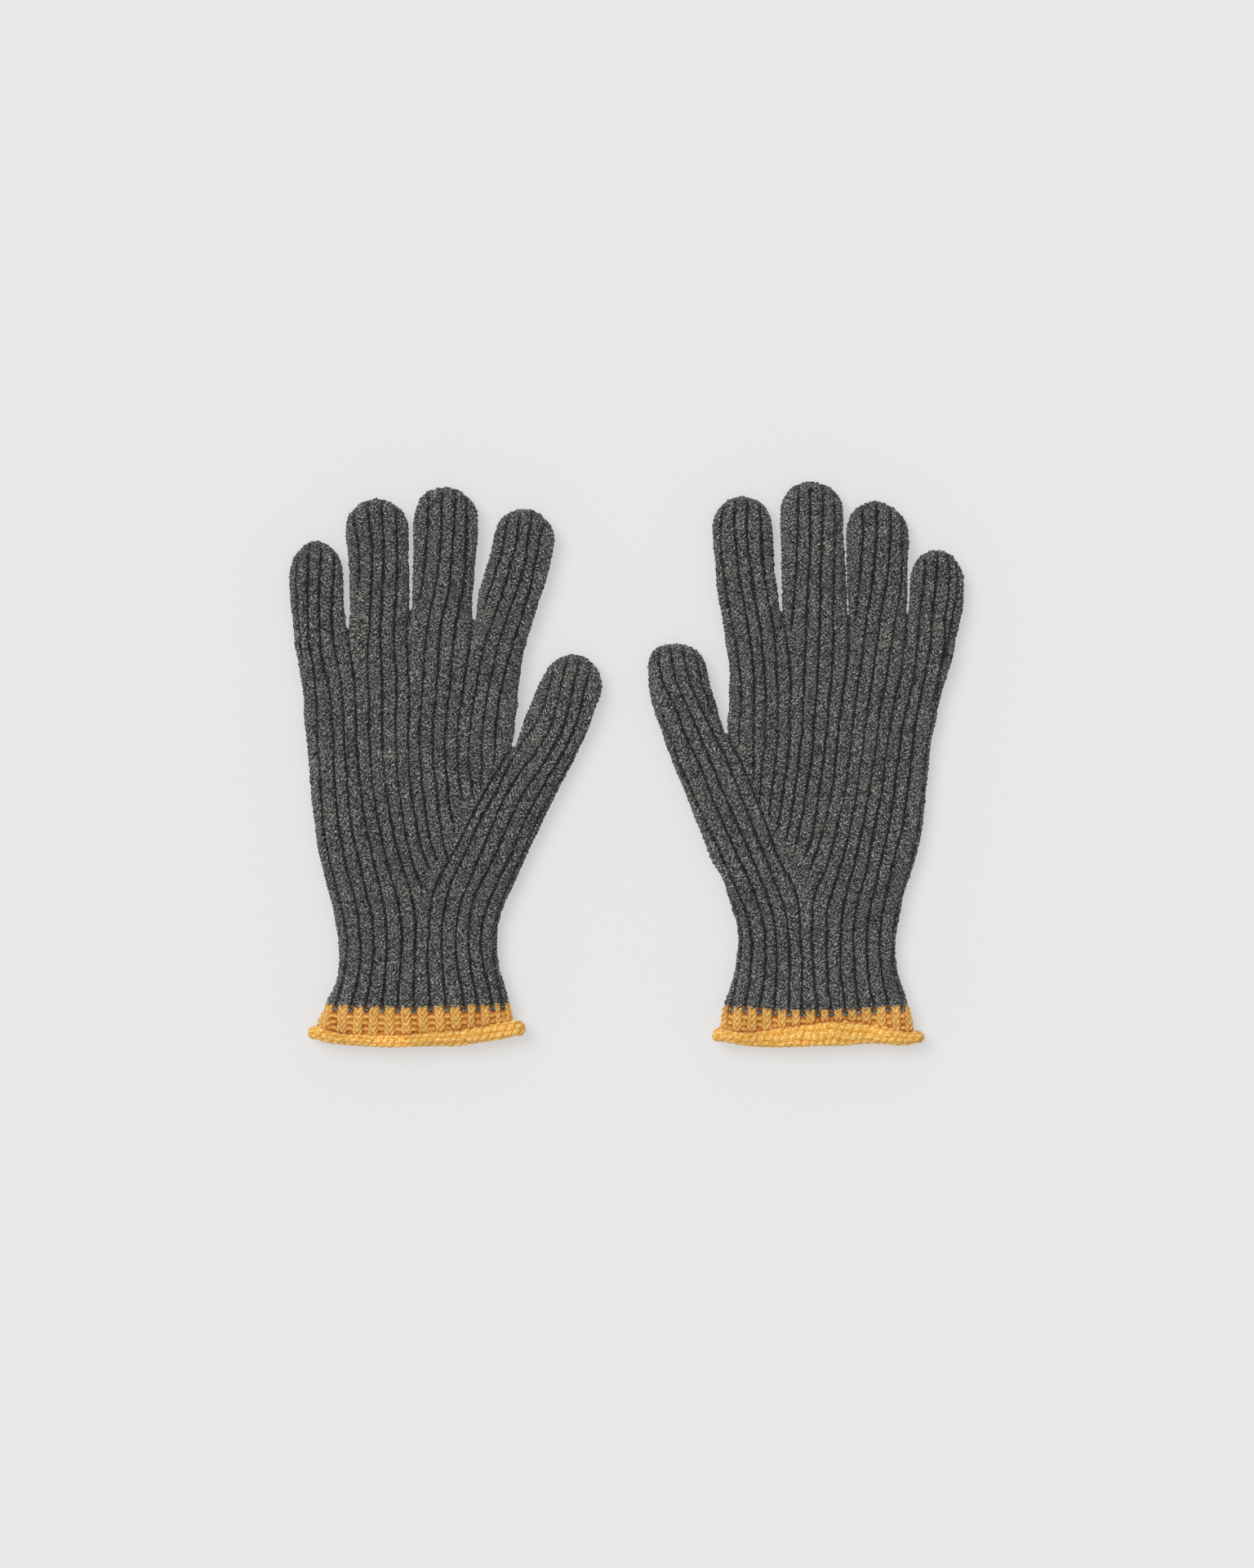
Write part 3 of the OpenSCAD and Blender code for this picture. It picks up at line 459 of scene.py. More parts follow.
# ---------------------------------------------------------------- wool
def wool(name, dark, mid, light, fleck, row, groove_shade, sheen, ragged=0.0, other=None):
    """Marled wool. Flecks and fibres follow the stitches' legs; painted shade darkens the grooves and crevices, and
    painted light and shade run along each stitch's leg.
    """
    m = bpy.data.materials.new(name)
    m.use_nodes = True
    nt = m.node_tree
    nt.nodes.clear()
    N, L = nt.nodes, nt.links

    def node(kind, **kw):
        n = N.new(kind)
        for k, v in kw.items():
            setattr(n, k, v)
        return n

    def math_(op, a, b=None, clamp=False):
        n = node("ShaderNodeMath", operation=op, use_clamp=clamp)
        for s, v in zip(n.inputs, (a, b)):
            if v is None:
                continue
            if isinstance(v, (int, float)):
                s.default_value = v
            else:
                L.new(v, s)
        return n.outputs[0]

    def attr(n_):
        return node("ShaderNodeAttribute", attribute_name=n_)

    def noise(vec, scale, detail, rough, dist=0.0):
        n = node("ShaderNodeTexNoise")
        n.inputs["Scale"].default_value = scale
        n.inputs["Detail"].default_value = detail
        n.inputs["Roughness"].default_value = rough
        n.inputs["Distortion"].default_value = dist
        L.new(vec, n.inputs["Vector"])
        return n.outputs["Fac"]

    def ramp(fac, stops):
        n = node("ShaderNodeValToRGB")
        e = n.color_ramp.elements
        while len(e) < len(stops):
            e.new(0.5)
        for el, (p, c) in zip(e, stops):
            el.position = p
            el.color = c if isinstance(c, tuple) else (c, c, c, 1)
        L.new(fac, n.inputs["Fac"])
        return n.outputs["Color"]

    def mix(kind, fac, a, b):
        n = node("ShaderNodeMix", data_type="RGBA", blend_type=kind)
        if isinstance(fac, (int, float)):
            n.inputs["Factor"].default_value = fac
        else:
            L.new(fac, n.inputs["Factor"])
        for s, v in ((n.inputs["A"], a), (n.inputs["B"], b)):
            if isinstance(v, tuple):
                s.default_value = v
            else:
                L.new(v, s)
        return n.outputs["Result"]

    rest = attr("rest").outputs["Vector"]
    leg = attr("leg").outputs["Fac"]       # mm along the stitches' slanted rows
    rib = attr("rib").outputs["Fac"]       # 0 in a groove, 1 on a rib's crown
    sep = node("ShaderNodeSeparateXYZ")
    L.new(rest, sep.inputs[0])
    comb = node("ShaderNodeCombineXYZ")
    L.new(sep.outputs["X"], comb.inputs["X"])
    L.new(math_("MULTIPLY", leg, 2.3), comb.inputs["Y"])
    L.new(sep.outputs["Z"], comb.inputs["Z"])
    strand = comb.outputs[0]
    streak = noise(strand, 1.05, 3.0, 0.65, 0.3)
    streak2 = noise(strand, 2.1, 2.0, 0.6, 0.2)
    grain = noise(rest, 1.7, 2.0, 0.7)
    broad = noise(rest, 0.07, 2.0, 0.5)
    # marl: mostly mid grey, with darker and lighter fibres
    tone = math_("ADD", math_("MULTIPLY", streak, 0.36), math_("ADD", math_("MULTIPLY", streak2, 0.24), math_("MULTIPLY", grain, 0.4)))
    base = ramp(tone, [(0.45, dark), (0.49, mid), (0.524, light), (0.575, fleck)])
    if other:
        flip = node("ShaderNodeRGBToBW")
        L.new(ramp(attr("grey").outputs["Fac"], [(0.4, 0.0), (0.6, 1.0)]), flip.inputs[0])
        second = ramp(tone, [(0.45, other["dark"]), (0.49, other["mid"]), (0.524, other["light"]), (0.575, other["fleck"])])
        base = mix("MIX", flip.outputs[0], base, second)
    base = mix("MULTIPLY", 1.0, base, ramp(broad, [(0.3, 0.88), (0.7, 1.1)]))
    # painted light and shade: each stitch's leg is painted lighter along its middle and darker where it meets the next
    phase = math_("COSINE", math_("MULTIPLY", leg, 2 * math.pi / row))
    legs = math_("ADD", math_("MULTIPLY", phase, 0.5), 0.5)
    base = mix("MULTIPLY", 1.0, base, ramp(legs, [(0.0, (0.78, 0.6, 0.42, 1) if other else 0.72), (0.6, 1.05)]))
    # random dark pepper in the yarn's tone, and a jitter on rib that makes the painted groove shade's edges ragged
    if ragged:
        pepper = noise(rest, 1.55, 1.0, 0.5)
        base = mix("MULTIPLY", 1.0, base, ramp(pepper, [(0.4, 0.4), (0.5, 0.78), (0.6, 1.0)]))
        rib = math_("ADD", rib, math_("MULTIPLY", math_("SUBTRACT", grain, 0.5), ragged))
    # painted shade: the ramp over rib darkens grooves, crevices and troughs
    base = mix("MULTIPLY", 1.0, base, ramp(rib, groove_shade))
    bump_h = math_("ADD", math_("MULTIPLY", legs, 0.45), math_("ADD", math_("MULTIPLY", streak, 0.8), math_("MULTIPLY", streak2, 0.55)))
    bump = node("ShaderNodeBump")
    bump.inputs["Strength"].default_value = 0.85
    bump.inputs["Distance"].default_value = 0.0005
    L.new(bump_h, bump.inputs["Height"])
    p = node("ShaderNodeBsdfPrincipled")
    p.inputs["Roughness"].default_value = 0.92
    p.inputs["Specular IOR Level"].default_value = 0.18
    p.inputs["Sheen Weight"].default_value = sheen
    p.inputs["Sheen Roughness"].default_value = 0.55
    L.new(bump.outputs[0], p.inputs["Normal"])
    out = node("ShaderNodeOutputMaterial")
    L.new(p.outputs[0], out.inputs[0])
    return m, base, p, node, mix, ramp, attr, L


def srgb(r, g, b):
    return tuple(((v / 255 + 0.055) / 1.055) ** 2.4 if v > 10 else v / 255 / 12.92 for v in (r, g, b)) + (1.0,)


GREY = dict(dark=srgb(12, 12, 12), mid=srgb(57, 57, 55), light=srgb(106, 106, 103), fleck=srgb(216, 216, 210))
GOLD = dict(dark=srgb(212, 148, 52), mid=srgb(242, 184, 82), light=srgb(254, 208, 112), fleck=srgb(255, 228, 152))
# painted shade: colour multipliers over rib, darkest in grooves and crevices, for the grey wool, the yellow band and
# the rolled edge
GREY_GROOVE_SHADE = [(0.0, 0.04), (0.15, 0.2), (0.38, 1.0)]
GOLD_CREVICE_SHADE = [(0.0, (0.4, 0.17, 0.05, 1)), (0.3, (0.76, 0.5, 0.26, 1)), (0.6, (1.0, 1.0, 1.0, 1))]
ROLL_CREVICE_SHADE = [(0.0, (0.72, 0.5, 0.28, 1)), (0.3, (0.92, 0.78, 0.58, 1)), (0.55, (1.0, 1.0, 1.0, 1))]

grey_wool, base_g, p_g, *_r = wool("grey marl wool", **GREY, row=ROW, groove_shade=GREY_GROOVE_SHADE, sheen=0.12, ragged=0.5)
_r[-1].new(base_g, p_g.inputs["Base Color"])

gold_wool, base_y, p_y, *_r = wool("yellow wool", **GOLD, row=BAND_ROW, groove_shade=GOLD_CREVICE_SHADE, sheen=0.2, other=GREY)
_r[-1].new(base_y, p_y.inputs["Base Color"])

roll_wool, base_r, p_r, *_r = wool("yellow wool, rolled", **GOLD, row=1e6, groove_shade=ROLL_CREVICE_SHADE, sheen=0.2)
_r[-1].new(base_r, p_r.inputs["Base Color"])


# ---------------------------------------------------------------- one glove
def build(G, seed):
    side = G["side"]
    poly = resample(G["outline"], 1.3)
    foot = [(poly[-1][0], -126), (poly[0][0], -126)]
    poly = np.vstack([poly, foot])
    lo, hi = poly.min(0) - 2.5, poly.max(0) + 2.5
    lo[1] = CUT_Y - 2
    gx = np.arange(lo[0], hi[0], H)
    gy = np.arange(lo[1], hi[1], H)
    X, Y = gx[:, None], gy[None, :]
    d, _ = line_distance(gx, gy, poly, 13.0, closed=True)
    d = np.where(inside_outline(gx, gy, poly), d, -d) + 0.25
    # folds between the fingers
    for pts, full, gone in G["folds"]:
        e, _ = line_distance(gx, gy, resample(pts, 1.5), 13.0)
        k = smoothstep(gone, full, Y)
        d = np.minimum(d, np.where(d > 0, e + 0.7 + (1 - k) * RIM, d))
    # grooves
    e = np.full(d.shape, 9.0, np.float32)
    e2 = np.full(d.shape, 9.0, np.float32)
    near = np.zeros(d.shape + (2,), np.float32)
    wander = np.random.default_rng(seed + 2)
    lines = [(g, None) for g in G["grooves"]] + [(f[0], f[1:]) for f in G["fading"] + G["folds"]]
    slopes = []
    for pts, fade in lines:
        ln = resample(pts, 2.0)
        if fade is None and ln[0][1] < ln[-1][1]:
            ln = ln[::-1]
        off = np.convolve(wander.standard_normal(len(ln) + 4), np.ones(5) / 5, "valid")
        bent = ln + np.stack([0.2 * off, 0 * off], 1)
        f, nr = line_distance(gx, gy, bent, 7.6)
        if fade is not None:
            f = f + (1 - smoothstep(fade[1], fade[0], Y)) * WALE
        win = f < e
        same = np.hypot(nr[..., 0] - near[..., 0], nr[..., 1] - near[..., 1]) < 1.6
        e2 = np.where(same, e2, np.where(win, e, np.minimum(e2, f)))
        e[win] = f[win]
        near[win] = nr[win]
        yy, xx = ln[::-1, 1], ln[::-1, 0]
        o = np.argsort(yy)
        xs = np.interp(gy, yy[o], xx[o], left=np.nan, right=np.nan)
        if fade is None:
            slopes.append((xs, np.gradient(xs, H)))
    # the ribs' lean, and the height along them
    lean = np.zeros(d.shape)
    XS, MS = np.array([s[0] for s in slopes]), np.array([s[1] for s in slopes])
    for j in range(len(gy)):
        ok = ~np.isnan(XS[:, j]) & ~np.isnan(MS[:, j])
        if ok.any():
            o = np.argsort(XS[ok, j])
            lean[:, j] = np.interp(gx, XS[ok, j][o], MS[ok, j][o])
    lean = np.clip(lean, -0.8, 0.8)
    for ax, width in ((1, 12), (0, 5), (1, 12), (0, 5)):
        lean = blur(lean, int(width / H), ax)
    along = Y + np.cumsum(lean, 1 - 1) * H
    c = np.argmin(abs(gx - (gx[0] + gx[-1]) / 2))
    along = along - (along[c] - gy)[None, :]

    # thickness
    bumpy = waves(seed, 7, 26)
    puff = 4.15 + 0.85 * smoothstep(0, 11, d) + 0.22 * bumpy(X, Y)
    puff = puff - 0.5 * smoothstep(-112.5, -115.5, Y) + 0.25 * np.exp(-(((Y + 101) / 5.0) ** 2))
    ii = np.clip(((near[..., 0] - gx[0]) / H).round().astype(int), 0, len(gx) - 1)
    jj = np.clip(((near[..., 1] - gy[0]) / H).round().astype(int), 0, len(gy) - 1)
    dg = np.clip(d[ii, jj], 0, RIM)
    zg = puff * np.sqrt(np.maximum(1 - ((RIM - dg) / RIM) ** 2, 0))
    gdx = np.abs(np.gradient(d, H, axis=0))
    gdy = np.abs(np.gradient(d, H, axis=1))
    side_on = smoothstep(0.35, 0.75, gdx / np.maximum(np.hypot(gdx, gdy), 1e-6))
    soft = smoothstep(-0.6, 1.0, waves(seed + 9, 6, 34)(X, Y)) * np.exp(-(((Y - 12) / 42.0) ** 2))
    ragged = wander.standard_normal(d.shape)
    for ax in (0, 1, 0, 1):
        ragged = blur(ragged, 2, ax) * 1.6

    zs = np.arange(-7.4, 7.4, H).astype(np.float32)
    rim2 = (np.maximum(RIM - d, 0) ** 2).astype(np.float32)[..., None]
    rho = np.clip((RIM - d) / RIM, 0, 1).astype(np.float32)[..., None]
    Z = zs[None, None, :]
    q = np.sqrt(rim2 + (Z * (RIM / puff).astype(np.float32)[..., None]) ** 2)
    rng = np.random.default_rng(seed + 1)
    fluff = rng.standard_normal(q.shape, dtype=np.float32)
    for ax in range(3):
        fluff = (fluff + np.roll(fluff, 1, ax) + np.roll(fluff, -1, ax)) / 1.732

    stray = np.array(G["sag"])

    def sag(x):
        return np.interp(x, stray[:, 0], stray[:, 1])

    def relief(e, e2, d, z, zg, rho, side_on, along, y, ragged, soft):
        """How far the knit stands off the plain body, and what the material needs to know."""
        lift = (rho * (z - zg)) ** 2
        a, b = np.sqrt(e**2 + lift), np.sqrt(e2**2 + lift)
        c = np.sqrt(d**2 + z**2) + (1 - side_on) * WALE
        em = np.minimum(a, c)                                   # from the nearest groove
        mid = (np.minimum(np.maximum(a, c), b) - em) / 2        # from the rib's middle line
        # grey: plump ribs, narrow grooves, shallow V stitches
        t = np.clip((em + 0.14 * ragged * smoothstep(0.1, 0.6, em) + 0.17 * soft) / WALE, 0, 1)
        leg_g = along - SLANT * np.minimum(mid, WALE)
        grey = -DEPTH * (1 - np.sqrt(1 - (1 - t) ** 3.1)) - 0.22 * np.exp(-((mid / 0.45) ** 2))
        grey = grey + 0.3 * (np.cos(leg_g * (2 * math.pi / ROW)) - 0.4) * smoothstep(0.12, 0.5, t)
        # yellow: columns of two steep plaits, purl bumps in the troughs between them
        leg_y = y - BAND_Y - STEEP * np.minimum(mid, 2.1)
        plait = np.sqrt(np.clip(1 - ((mid - 0.95) / 1.05) ** 2, 0, 1))
        column = -0.85 + 0.75 * plait + 0.46 * np.cos(leg_y * (2 * math.pi / BAND_ROW)) * plait
        bump = 0.5 + 0.5 * np.cos((y - BAND_Y + 1.35) * (2 * math.pi / BAND_ROW))
        purl = -1.5 + 1.1 * bump**0.6 * np.sqrt(np.clip(1 - (em / (TROUGH + 0.15)) ** 2, 0, 1))
        tr = smoothstep(TROUGH + 0.22, TROUGH - 0.18, em)
        yellow = column * (1 - tr) + purl * tr + 0.08 * ragged
        up = smoothstep(BAND_Y - 0.3, BAND_Y + 0.3, y)
        disp = yellow * (1 - up) + grey * up
        return disp, em, mid, t, leg_g, leg_y, plait, tr, yellow

    f4 = lambda A: A.astype(np.float32)[..., None]
    disp = relief(f4(e), f4(e2), f4(np.maximum(d, 0)), np.abs(Z), f4(zg), rho, f4(side_on), f4(along), f4(Y - sag(X)), f4(ragged), f4(soft))[0]
    disp = disp + 0.13 * fluff
    F = (q - RIM - disp).astype(np.float32)
    del q, disp, fluff
    V, Q = nets(F, np.array([gx[0], gy[0], MID + zs[0]]), H)
    # what the material needs, at each vertex
    P = (V - np.array([gx[0], gy[0], MID + zs[0]])) / H
    i = np.clip(P.round().astype(int), 0, np.array(F.shape) - 1)
    fi = np.clip(P.astype(int), 0, np.array(F.shape) - 2)
    fr = P - fi

    def at(A):
        s = 0
        for dx in (0, 1):
            for dy in (0, 1):
                w = (fr[:, 0] if dx else 1 - fr[:, 0]) * (fr[:, 1] if dy else 1 - fr[:, 1])
                s = s + w * A[fi[:, 0] + dx, fi[:, 1] + dy]
        return s

    dv, zv = np.maximum(at(d), 0), np.abs(V[:, 2] - MID)
    _, emv, midv, tv, lgv, lyv, plait, tr_, yel = relief(
        at(e), at(e2), dv, zv, at(zg), np.clip((RIM - dv) / RIM, 0, 1), at(side_on), at(along), V[:, 1] - sag(V[:, 0]), at(ragged), at(soft))
    yb = V[:, 1] - sag(V[:, 0]) - BAND_Y
    banded = yb < 0
    # painted shade: rib follows how deep each point sits, so band crevices and grey grooves are painted darker
    rib = np.where(banded, np.clip((yel + 1.55) / 1.6, 0, 1), np.where(yb < 1, np.maximum(tv, 0.14), tv))
    legv = np.where(banded, lyv, lgv)
    # painted shade in the crease just above the rolled edge
    rl = np.array(G["roll"])
    over = V[:, 1] - np.interp(V[:, 0], rl[:, 0], rl[:, 1] + rl[:, 2])
    rib = rib * (0.25 + 0.75 * smoothstep(-0.2, 1.1, over))
    # the first grey row: purl bumps between the yellow columns, under a thread of yellow
    in_col = smoothstep(-0.25, 0.25, yb - (-1.1 + 1.75 * plait) - 0.25 * at(ragged))
    oval = ((yb + 1.3) / 1.2) ** 2 + (emv / 1.4) ** 2
    in_trough = np.maximum(smoothstep(1.15, 0.75, oval), smoothstep(-0.25, 0.2, yb + 0.25 * at(ragged)))
    greyness = in_col * (1 - tr_) + in_trough * tr_
    N = vertex_normals(V, Q)
    attrs = dict(rib=rib, leg=legv, grey=greyness)

    # ------------------------------------------------ which part each face belongs to
    C = V[Q].mean(1)
    cx, cy = C[:, 0], C[:, 1]
    part = np.full(len(Q), "hand", object)
    seam_line = resample(G["grooves"][G["seam"]], 1.0)
    o = np.argsort(seam_line[:, 1])
    seam_x = np.interp(cy, seam_line[o, 1], seam_line[o, 0])
    thumbward = cx > seam_x if side == "left" else cx < seam_x
    part[thumbward] = "gusset"

    def pos(j):
        return np.array(JOINTS[j]["pos_m"]) * 1000

    tr, te = pos(f"{side}_thumb_root"), pos(f"{side}_thumb_end")
    t_dir = (te - tr)[:2] / np.linalg.norm((te - tr)[:2])
    t_len = np.linalg.norm((te - tr)[:2])
    s = (cx - tr[0]) * t_dir[0] + (cy - tr[1]) * t_dir[1]
    tg = np.array(G["thumb_gap"])
    gap_x = np.interp(cy, tg[:, 1], tg[:, 0])
    is_thumb = (cx > gap_x if side == "left" else cx < gap_x) & (cy > -12) & (cy < 55)
    zone_t = 8.0
    part[is_thumb & (s > -zone_t)] = "thumb_base"
    part[is_thumb & (s > (zone_t + t_len - 7.5) / 2)] = "thumb_tip"
    part[~is_thumb & (cy > tg[0, 1])] = "hand"
    gaps = [np.interp(cy, np.array(g)[:, 1], np.array(g)[:, 0]) for g in G["gaps"]]
    bounds_ = [np.full(len(cx), -1e9)] + gaps + [np.full(len(cx), 1e9)]
    for n, f in enumerate(G["order"]):
        r, m_, e_ = (pos(f"{side}_{f}_{k}") for k in ("root", "mid", "end"))
        zr = 5.5 if f == "little" else 7.0
        zm = 5.0 if f == "little" else min(7.0, (m_[1] - r[1]) - zr + 0.0, (e_[1] - m_[1]) / 2)
        ze = 5.0 if f == "little" else min(6.0, e_[1] - m_[1] - zm)
        mine = (cx > bounds_[n]) & (cx <= bounds_[n + 1]) & ~is_thumb
        part[mine & (cy > r[1] - zr - H)] = f"{f}_base"
        part[mine & (cy > (r[1] + zr + m_[1] - zm) / 2)] = f"{f}_middle"
        part[mine & (cy > (m_[1] + zm + e_[1] - ze) / 2)] = f"{f}_tip"
    part[cy < WRIST_TOP] = "wrist"
    part[cy < BAND_Y + sag(cx) + 0.8] = "band"
    rolled = np.array(G["roll"])
    part[cy < np.maximum(CUT_Y, np.interp(cx, rolled[:, 0], rolled[:, 1]) - 0.4)] = "none"

    # ------------------------------------------------ the inside, seen through the mouth
    rows = np.unique(np.concatenate([np.linspace(-118.5, BAND_Y, 8), np.linspace(BAND_Y, WRIST_TOP, 16), np.linspace(WRIST_TOP, 0, 16)]))
    nl = 56
    loops = []
    for y in rows:
        j = int(np.clip(round((y - gy[0]) / H), 0, len(gy) - 1))
        xs = gx[d[:, j] > 2.8]
        a, b = xs.min(), xs.max()
        hh = 2.7 - 0.9 * smoothstep(-110, -118.5, y)
        ang = np.linspace(0, 2 * math.pi, nl, endpoint=False)
        cxx = np.sign(np.cos(ang)) * np.abs(np.cos(ang)) ** 0.5
        szz = np.sign(np.sin(ang)) * np.abs(np.sin(ang)) ** 0.5
        loops.append(np.stack([(a + b) / 2 + (b - a) / 2 * cxx, np.full(nl, y), MID + hh * szz], 1))
    LV = np.concatenate(loops)
    LV[:, 1] = np.maximum(LV[:, 1], np.interp(LV[:, 0], rolled[:, 0], rolled[:, 1]) - 0.8)
    k = np.arange(nl)
    LQ, Lp = [], []
    for r_ in range(len(rows) - 1):
        a0, b0 = r_ * nl, (r_ + 1) * nl
        LQ.append(np.stack([a0 + k, b0 + k, b0 + (k + 1) % nl, a0 + (k + 1) % nl], 1))
        ym = (rows[r_] + rows[r_ + 1]) / 2
        Lp += [("band" if ym < BAND_Y else "wrist" if ym < WRIST_TOP else "hand")] * nl
    last = (len(rows) - 1) * nl
    cap = [[last + a_, last + nl - 1 - a_, last + nl - 2 - a_, last + a_ + 1] for a_ in range(nl // 2 - 1)]
    LQ = np.concatenate(LQ + [np.array(cap)])
    Lp = np.array(Lp + ["hand"] * len(cap), object)
    LN = vertex_normals(LV, LQ)
    off = len(V)
    V2, Q2 = np.vstack([V, LV]), np.vstack([Q, LQ + off])
    N2 = np.vstack([N, LN])
    # painted shade: stripes of rib on the plain inside tube, so its grooves are painted, not modelled
    arc = np.concatenate([np.cumsum(np.r_[0, np.linalg.norm(np.diff(l_, axis=0), axis=1)]) for l_ in loops])
    lrib = np.abs(((arc / (2 * WALE)) % 1) * 2 - 1)
    attrs2 = dict(
        rib=np.concatenate([attrs["rib"], lrib]),
        leg=np.concatenate([attrs["leg"], LV[:, 1]]),
        grey=np.concatenate([attrs["grey"], (LV[:, 1] > BAND_Y).astype(float)]),
    )
    part2 = np.concatenate([part, Lp])

    nodes = dict(band="cuff_band", wrist="wrist_rib", hand="hand", gusset="thumb_gusset", thumb_base="thumb_base", thumb_tip="thumb_tip")
    for f in G["order"]:
        for sname in ("base", "middle", "tip"):
            nodes[f"{f}_{sname}"] = f"{f}_{sname}"
    for p_, cad in nodes.items():
        sel = part2 == p_
        ob = make_object(f"{side}_{p_}_knit", V2, Q2[sel], N2, attrs2, gold_wool if p_ == "band" else grey_wool)
        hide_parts(f"{side}_{cad}")
        if p_ == "band":
            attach(ob, f"{side}_cuff")
        elif p_ in ("hand", "gusset"):
            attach(ob, f"{side}_palm")
        elif p_ == "wrist":
            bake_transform(ob)
        elif p_ == "thumb_base":
            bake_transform(ob)
        elif p_ == "thumb_tip":
            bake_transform(ob)
        else:
            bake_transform(ob)
    roll(G, seed)


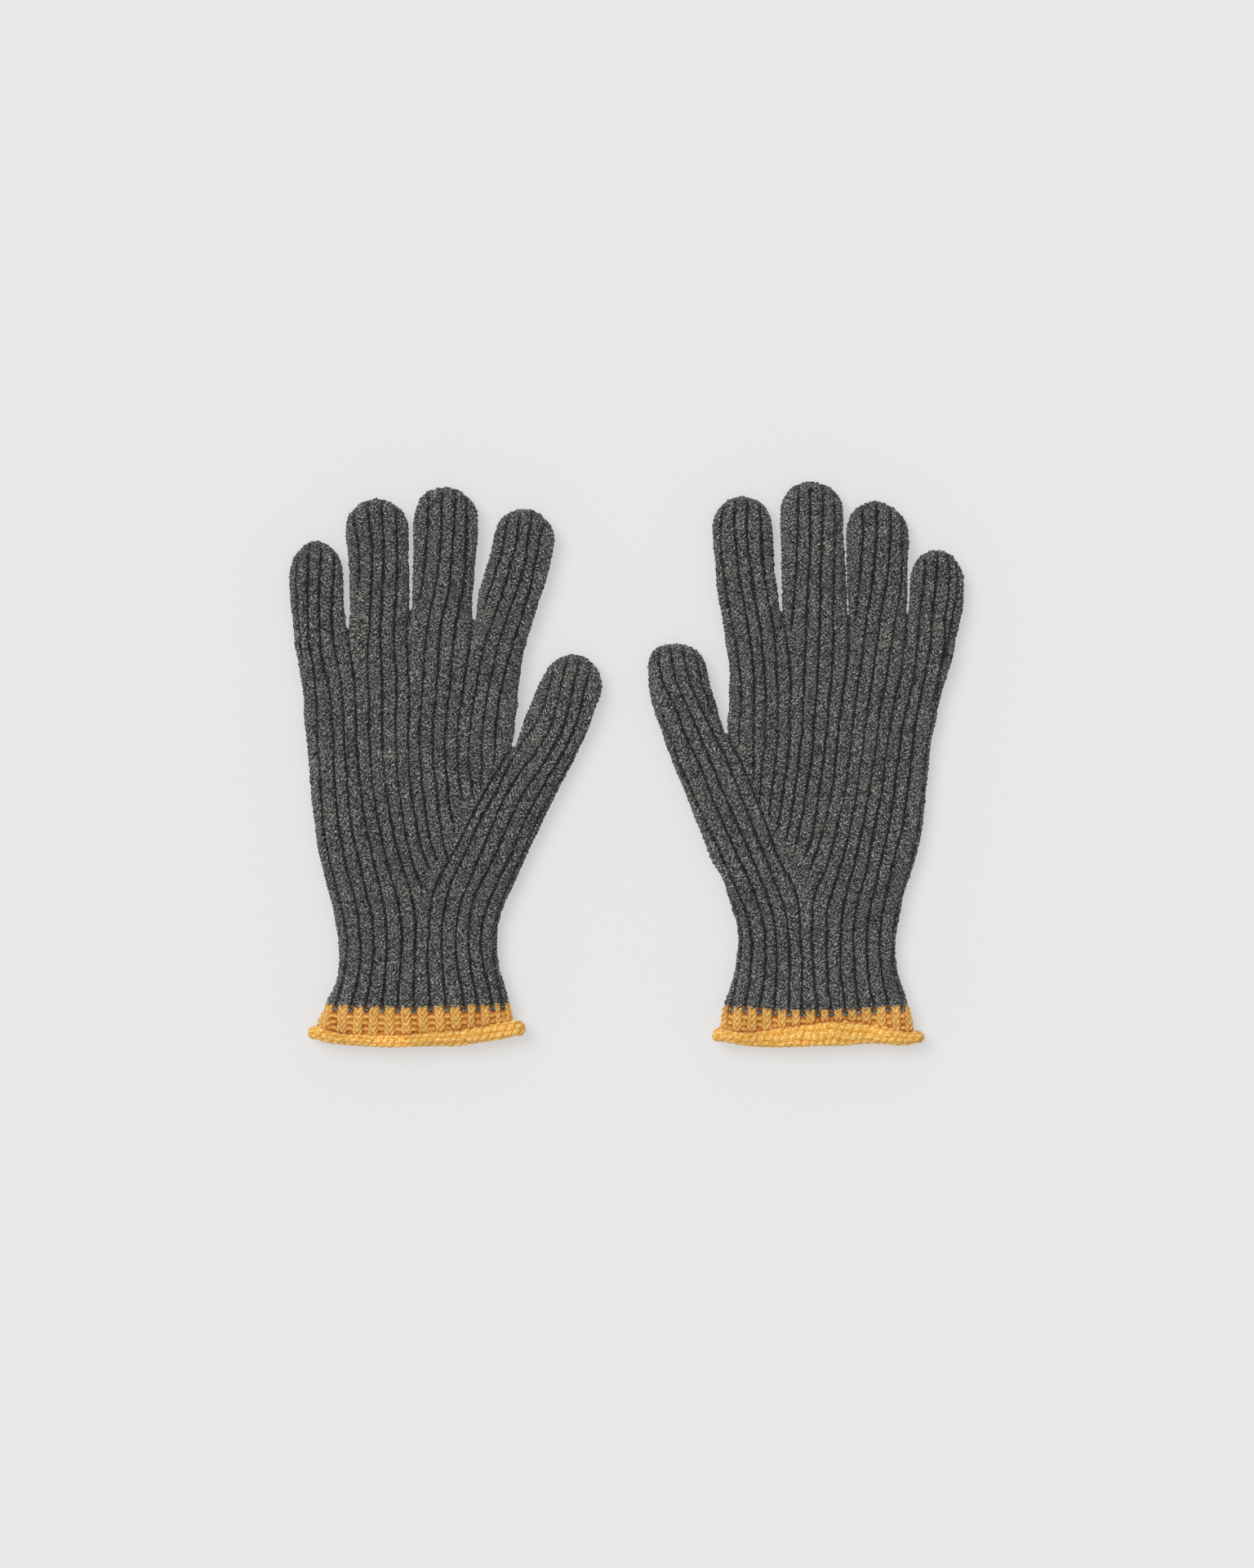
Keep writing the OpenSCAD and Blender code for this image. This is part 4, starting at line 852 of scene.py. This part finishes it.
def roll(G, seed):
    """The rolled edge: a soft rope round the mouth, with the knit's purl bumps outside."""
    side = G["side"]
    r = np.array(G["roll"])
    n = 220
    xs = np.linspace(r[0, 0], r[-1, 0], n)
    ys, rad = np.interp(xs, r[:, 0], r[:, 1]), np.interp(xs, r[:, 0], r[:, 2])
    for _ in range(12):
        ys[1:-1] = (ys[:-2] + 2 * ys[1:-1] + ys[2:]) / 4
        rad[1:-1] = (rad[:-2] + 2 * rad[1:-1] + rad[2:]) / 4
    wob = waves(seed + 5, 5, 22)
    top = np.stack([xs, ys, 8.9 + 0.15 * wob(xs, xs * 0)], 1)
    bot = np.stack([xs[::-1], ys[::-1] - 0.5, np.full(n, 3.1)], 1)
    rz = np.minimum(rad, 2.9) * 0.92
    path = [top]
    rads = [np.stack([rad, rz], 1)]
    for end, sgn in ((n - 1, 1), (0, -1)):
        a = np.linspace(0, math.pi, 14)[1:-1]
        z0, z1 = (top[end, 2], bot[0 if sgn > 0 else n - 1, 2])
        h = (z0 - z1) / 2
        if sgn > 0:
            px, pz = xs[end] + 2.2 * np.sin(a), (z0 + z1) / 2 + h * np.cos(a)
            py = ys[end] - 0.5 * (a / math.pi)
        else:
            px, pz = xs[end] - 2.2 * np.sin(a), (z0 + z1) / 2 - h * np.cos(a)
            py = ys[end] - 0.5 * (1 - a / math.pi)
        arc_pts = np.stack([px, py, pz], 1)
        rr = np.full((len(a), 2), 1.0) * np.array([rad[end], rz[end]])
        path.append(arc_pts)
        rads.append(rr)
        if sgn > 0:
            path.append(bot)
            rads.append(np.stack([rad, rz], 1)[::-1])
    path, rads = np.concatenate(path), np.concatenate(rads)
    seg = np.linalg.norm(np.diff(np.vstack([path, path[:1]]), axis=0), axis=1)
    s = np.r_[0, np.cumsum(seg)]
    total = s[-1]
    m = int(total / 0.42)
    u = np.arange(m) * total / m
    pc = np.stack([np.interp(u, s, np.r_[path[:, k], path[0, k]]) for k in range(3)], 1)
    rc = np.stack([np.interp(u, s, np.r_[rads[:, k], rads[0, k]]) for k in range(2)], 1)
    for _ in range(8):
        pc = (np.roll(pc, 1, 0) + 2 * pc + np.roll(pc, -1, 0)) / 4
    tan = np.roll(pc, -1, 0) - np.roll(pc, 1, 0)
    tan /= np.linalg.norm(tan, axis=1, keepdims=True)
    yv = np.array([0, 1.0, 0]) - tan * tan[:, 1:2]
    yv /= np.linalg.norm(yv, axis=1, keepdims=True)
    zv = np.cross(tan, yv)
    na = 46
    ang = np.arange(na) * 2 * math.pi / na
    mean_r = rc.mean()
    rows_n = 7
    A, U = ang[None, :], u[:, None]
    course = A / (2 * math.pi) * rows_n + 0.3 * np.sin(U / 17.0) + 0.12 * np.sin(U / 2.3)
    par = np.floor(course + 0.5)
    stitches = round(total / 3.3)
    across = 0.5 + 0.5 * np.cos(2 * math.pi * course)
    turn = 2 * math.pi * stitches * U / total + math.pi * par + 2.4 * (course - par) + 0.6 * np.sin(U * 0.7 + par * 1.7)
    knob = across**0.5 * (0.5 + 0.5 * np.cos(turn)) ** 0.55
    h = 0.52 * knob + 0.24 * wob(U, A * mean_r * 3)
    R1, R2 = rc[:, 0:1] - 0.32 + h, rc[:, 1:2] - 0.4 + h
    P = pc[:, None, :] + yv[:, None, :] * (R1 * np.cos(A))[..., None] + zv[:, None, :] * (R2 * np.sin(A))[..., None]
    V = P.reshape(-1, 3)
    I = np.arange(m)[:, None] * na
    J = np.arange(na)[None, :]
    I2, J2 = (np.arange(m)[:, None] + 1) % m * na, (J + 1) % na
    Q = np.stack([(I + J), (I2 + J), (I2 + J2), (I + J2)], -1).reshape(-1, 4)
    N = vertex_normals(V, Q)
    if ((V - np.repeat(pc, na, 0)) * N).sum() < 0:
        Q, N = Q[:, ::-1], -N
    # painted shade between the roll's purl bumps, painted light on each bump's top
    rib = np.clip(0.1 + 0.8 * knob, 0, 1).ravel()
    ob = make_object(f"{side}_rolled_edge_knit", V, Q, N, dict(rib=rib, leg=V[:, 1] * 0.5, grey=np.zeros(len(V))), roll_wool)
    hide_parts(f"{side}_rolled_edge")
    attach(ob, f"{side}_cuff")


LEFT["seam"] = 16
RIGHT["seam"] = 16
build(LEFT, 11)
build(RIGHT, 29)

# ---------------------------------------------------------------- floor, light, camera
me = bpy.data.meshes.new("floor")
w = 6.0
me.from_pydata([(-w, -w, 0), (w, -w, 0), (w, w, 0), (-w, w, 0)], [], [(0, 1, 2, 3)])
floor = bpy.data.objects.new("floor", me)
bpy.context.scene.collection.objects.link(floor)
fm = bpy.data.materials.new("pale floor")
fm.use_nodes = True
fp = fm.node_tree.nodes["Principled BSDF"]
fp.inputs["Base Color"].default_value = (0.336, 0.336, 0.336, 1)
fp.inputs["Emission Color"].default_value = (1, 1, 1, 1)
fp.inputs["Emission Strength"].default_value = 0.464
fp.inputs["Roughness"].default_value = 0.9
fp.inputs["Specular IOR Level"].default_value = 0.1
me.materials.append(fm)

scene = bpy.context.scene
scene.view_settings.view_transform = "Standard"
world = bpy.data.worlds.new("studio")
scene.world = world
world.use_nodes = True
bg = world.node_tree.nodes["Background"]
bg.inputs["Color"].default_value = (1, 1, 1, 1)
bg.inputs["Strength"].default_value = 0.575


def sun(name, toward, strength, angle):
    li = bpy.data.lights.new(name, "SUN")
    li.energy = strength
    li.angle = math.radians(angle)
    ob = bpy.data.objects.new(name, li)
    ob.rotation_euler = Vector(toward).to_track_quat("-Z", "Y").to_euler()
    scene.collection.objects.link(ob)


sun("key", (0.55, -0.5, -1.0), 1.67, 38)

cam = bpy.data.cameras.new("camera")
cam_ob = bpy.data.objects.new("camera", cam)
scene.collection.objects.link(cam_ob)
scene.camera = cam_ob
span, above = 0.672, 1.8           # the frame's long side at the gloves, and the camera's height
cam.sensor_width = 36
cam.lens = 36 * (above - 0.008) / span
cam.clip_start, cam.clip_end = 0.05, 20
cam_ob.location = (0.0, -0.00805, above)
cam_ob.rotation_euler = (0, 0, 0)
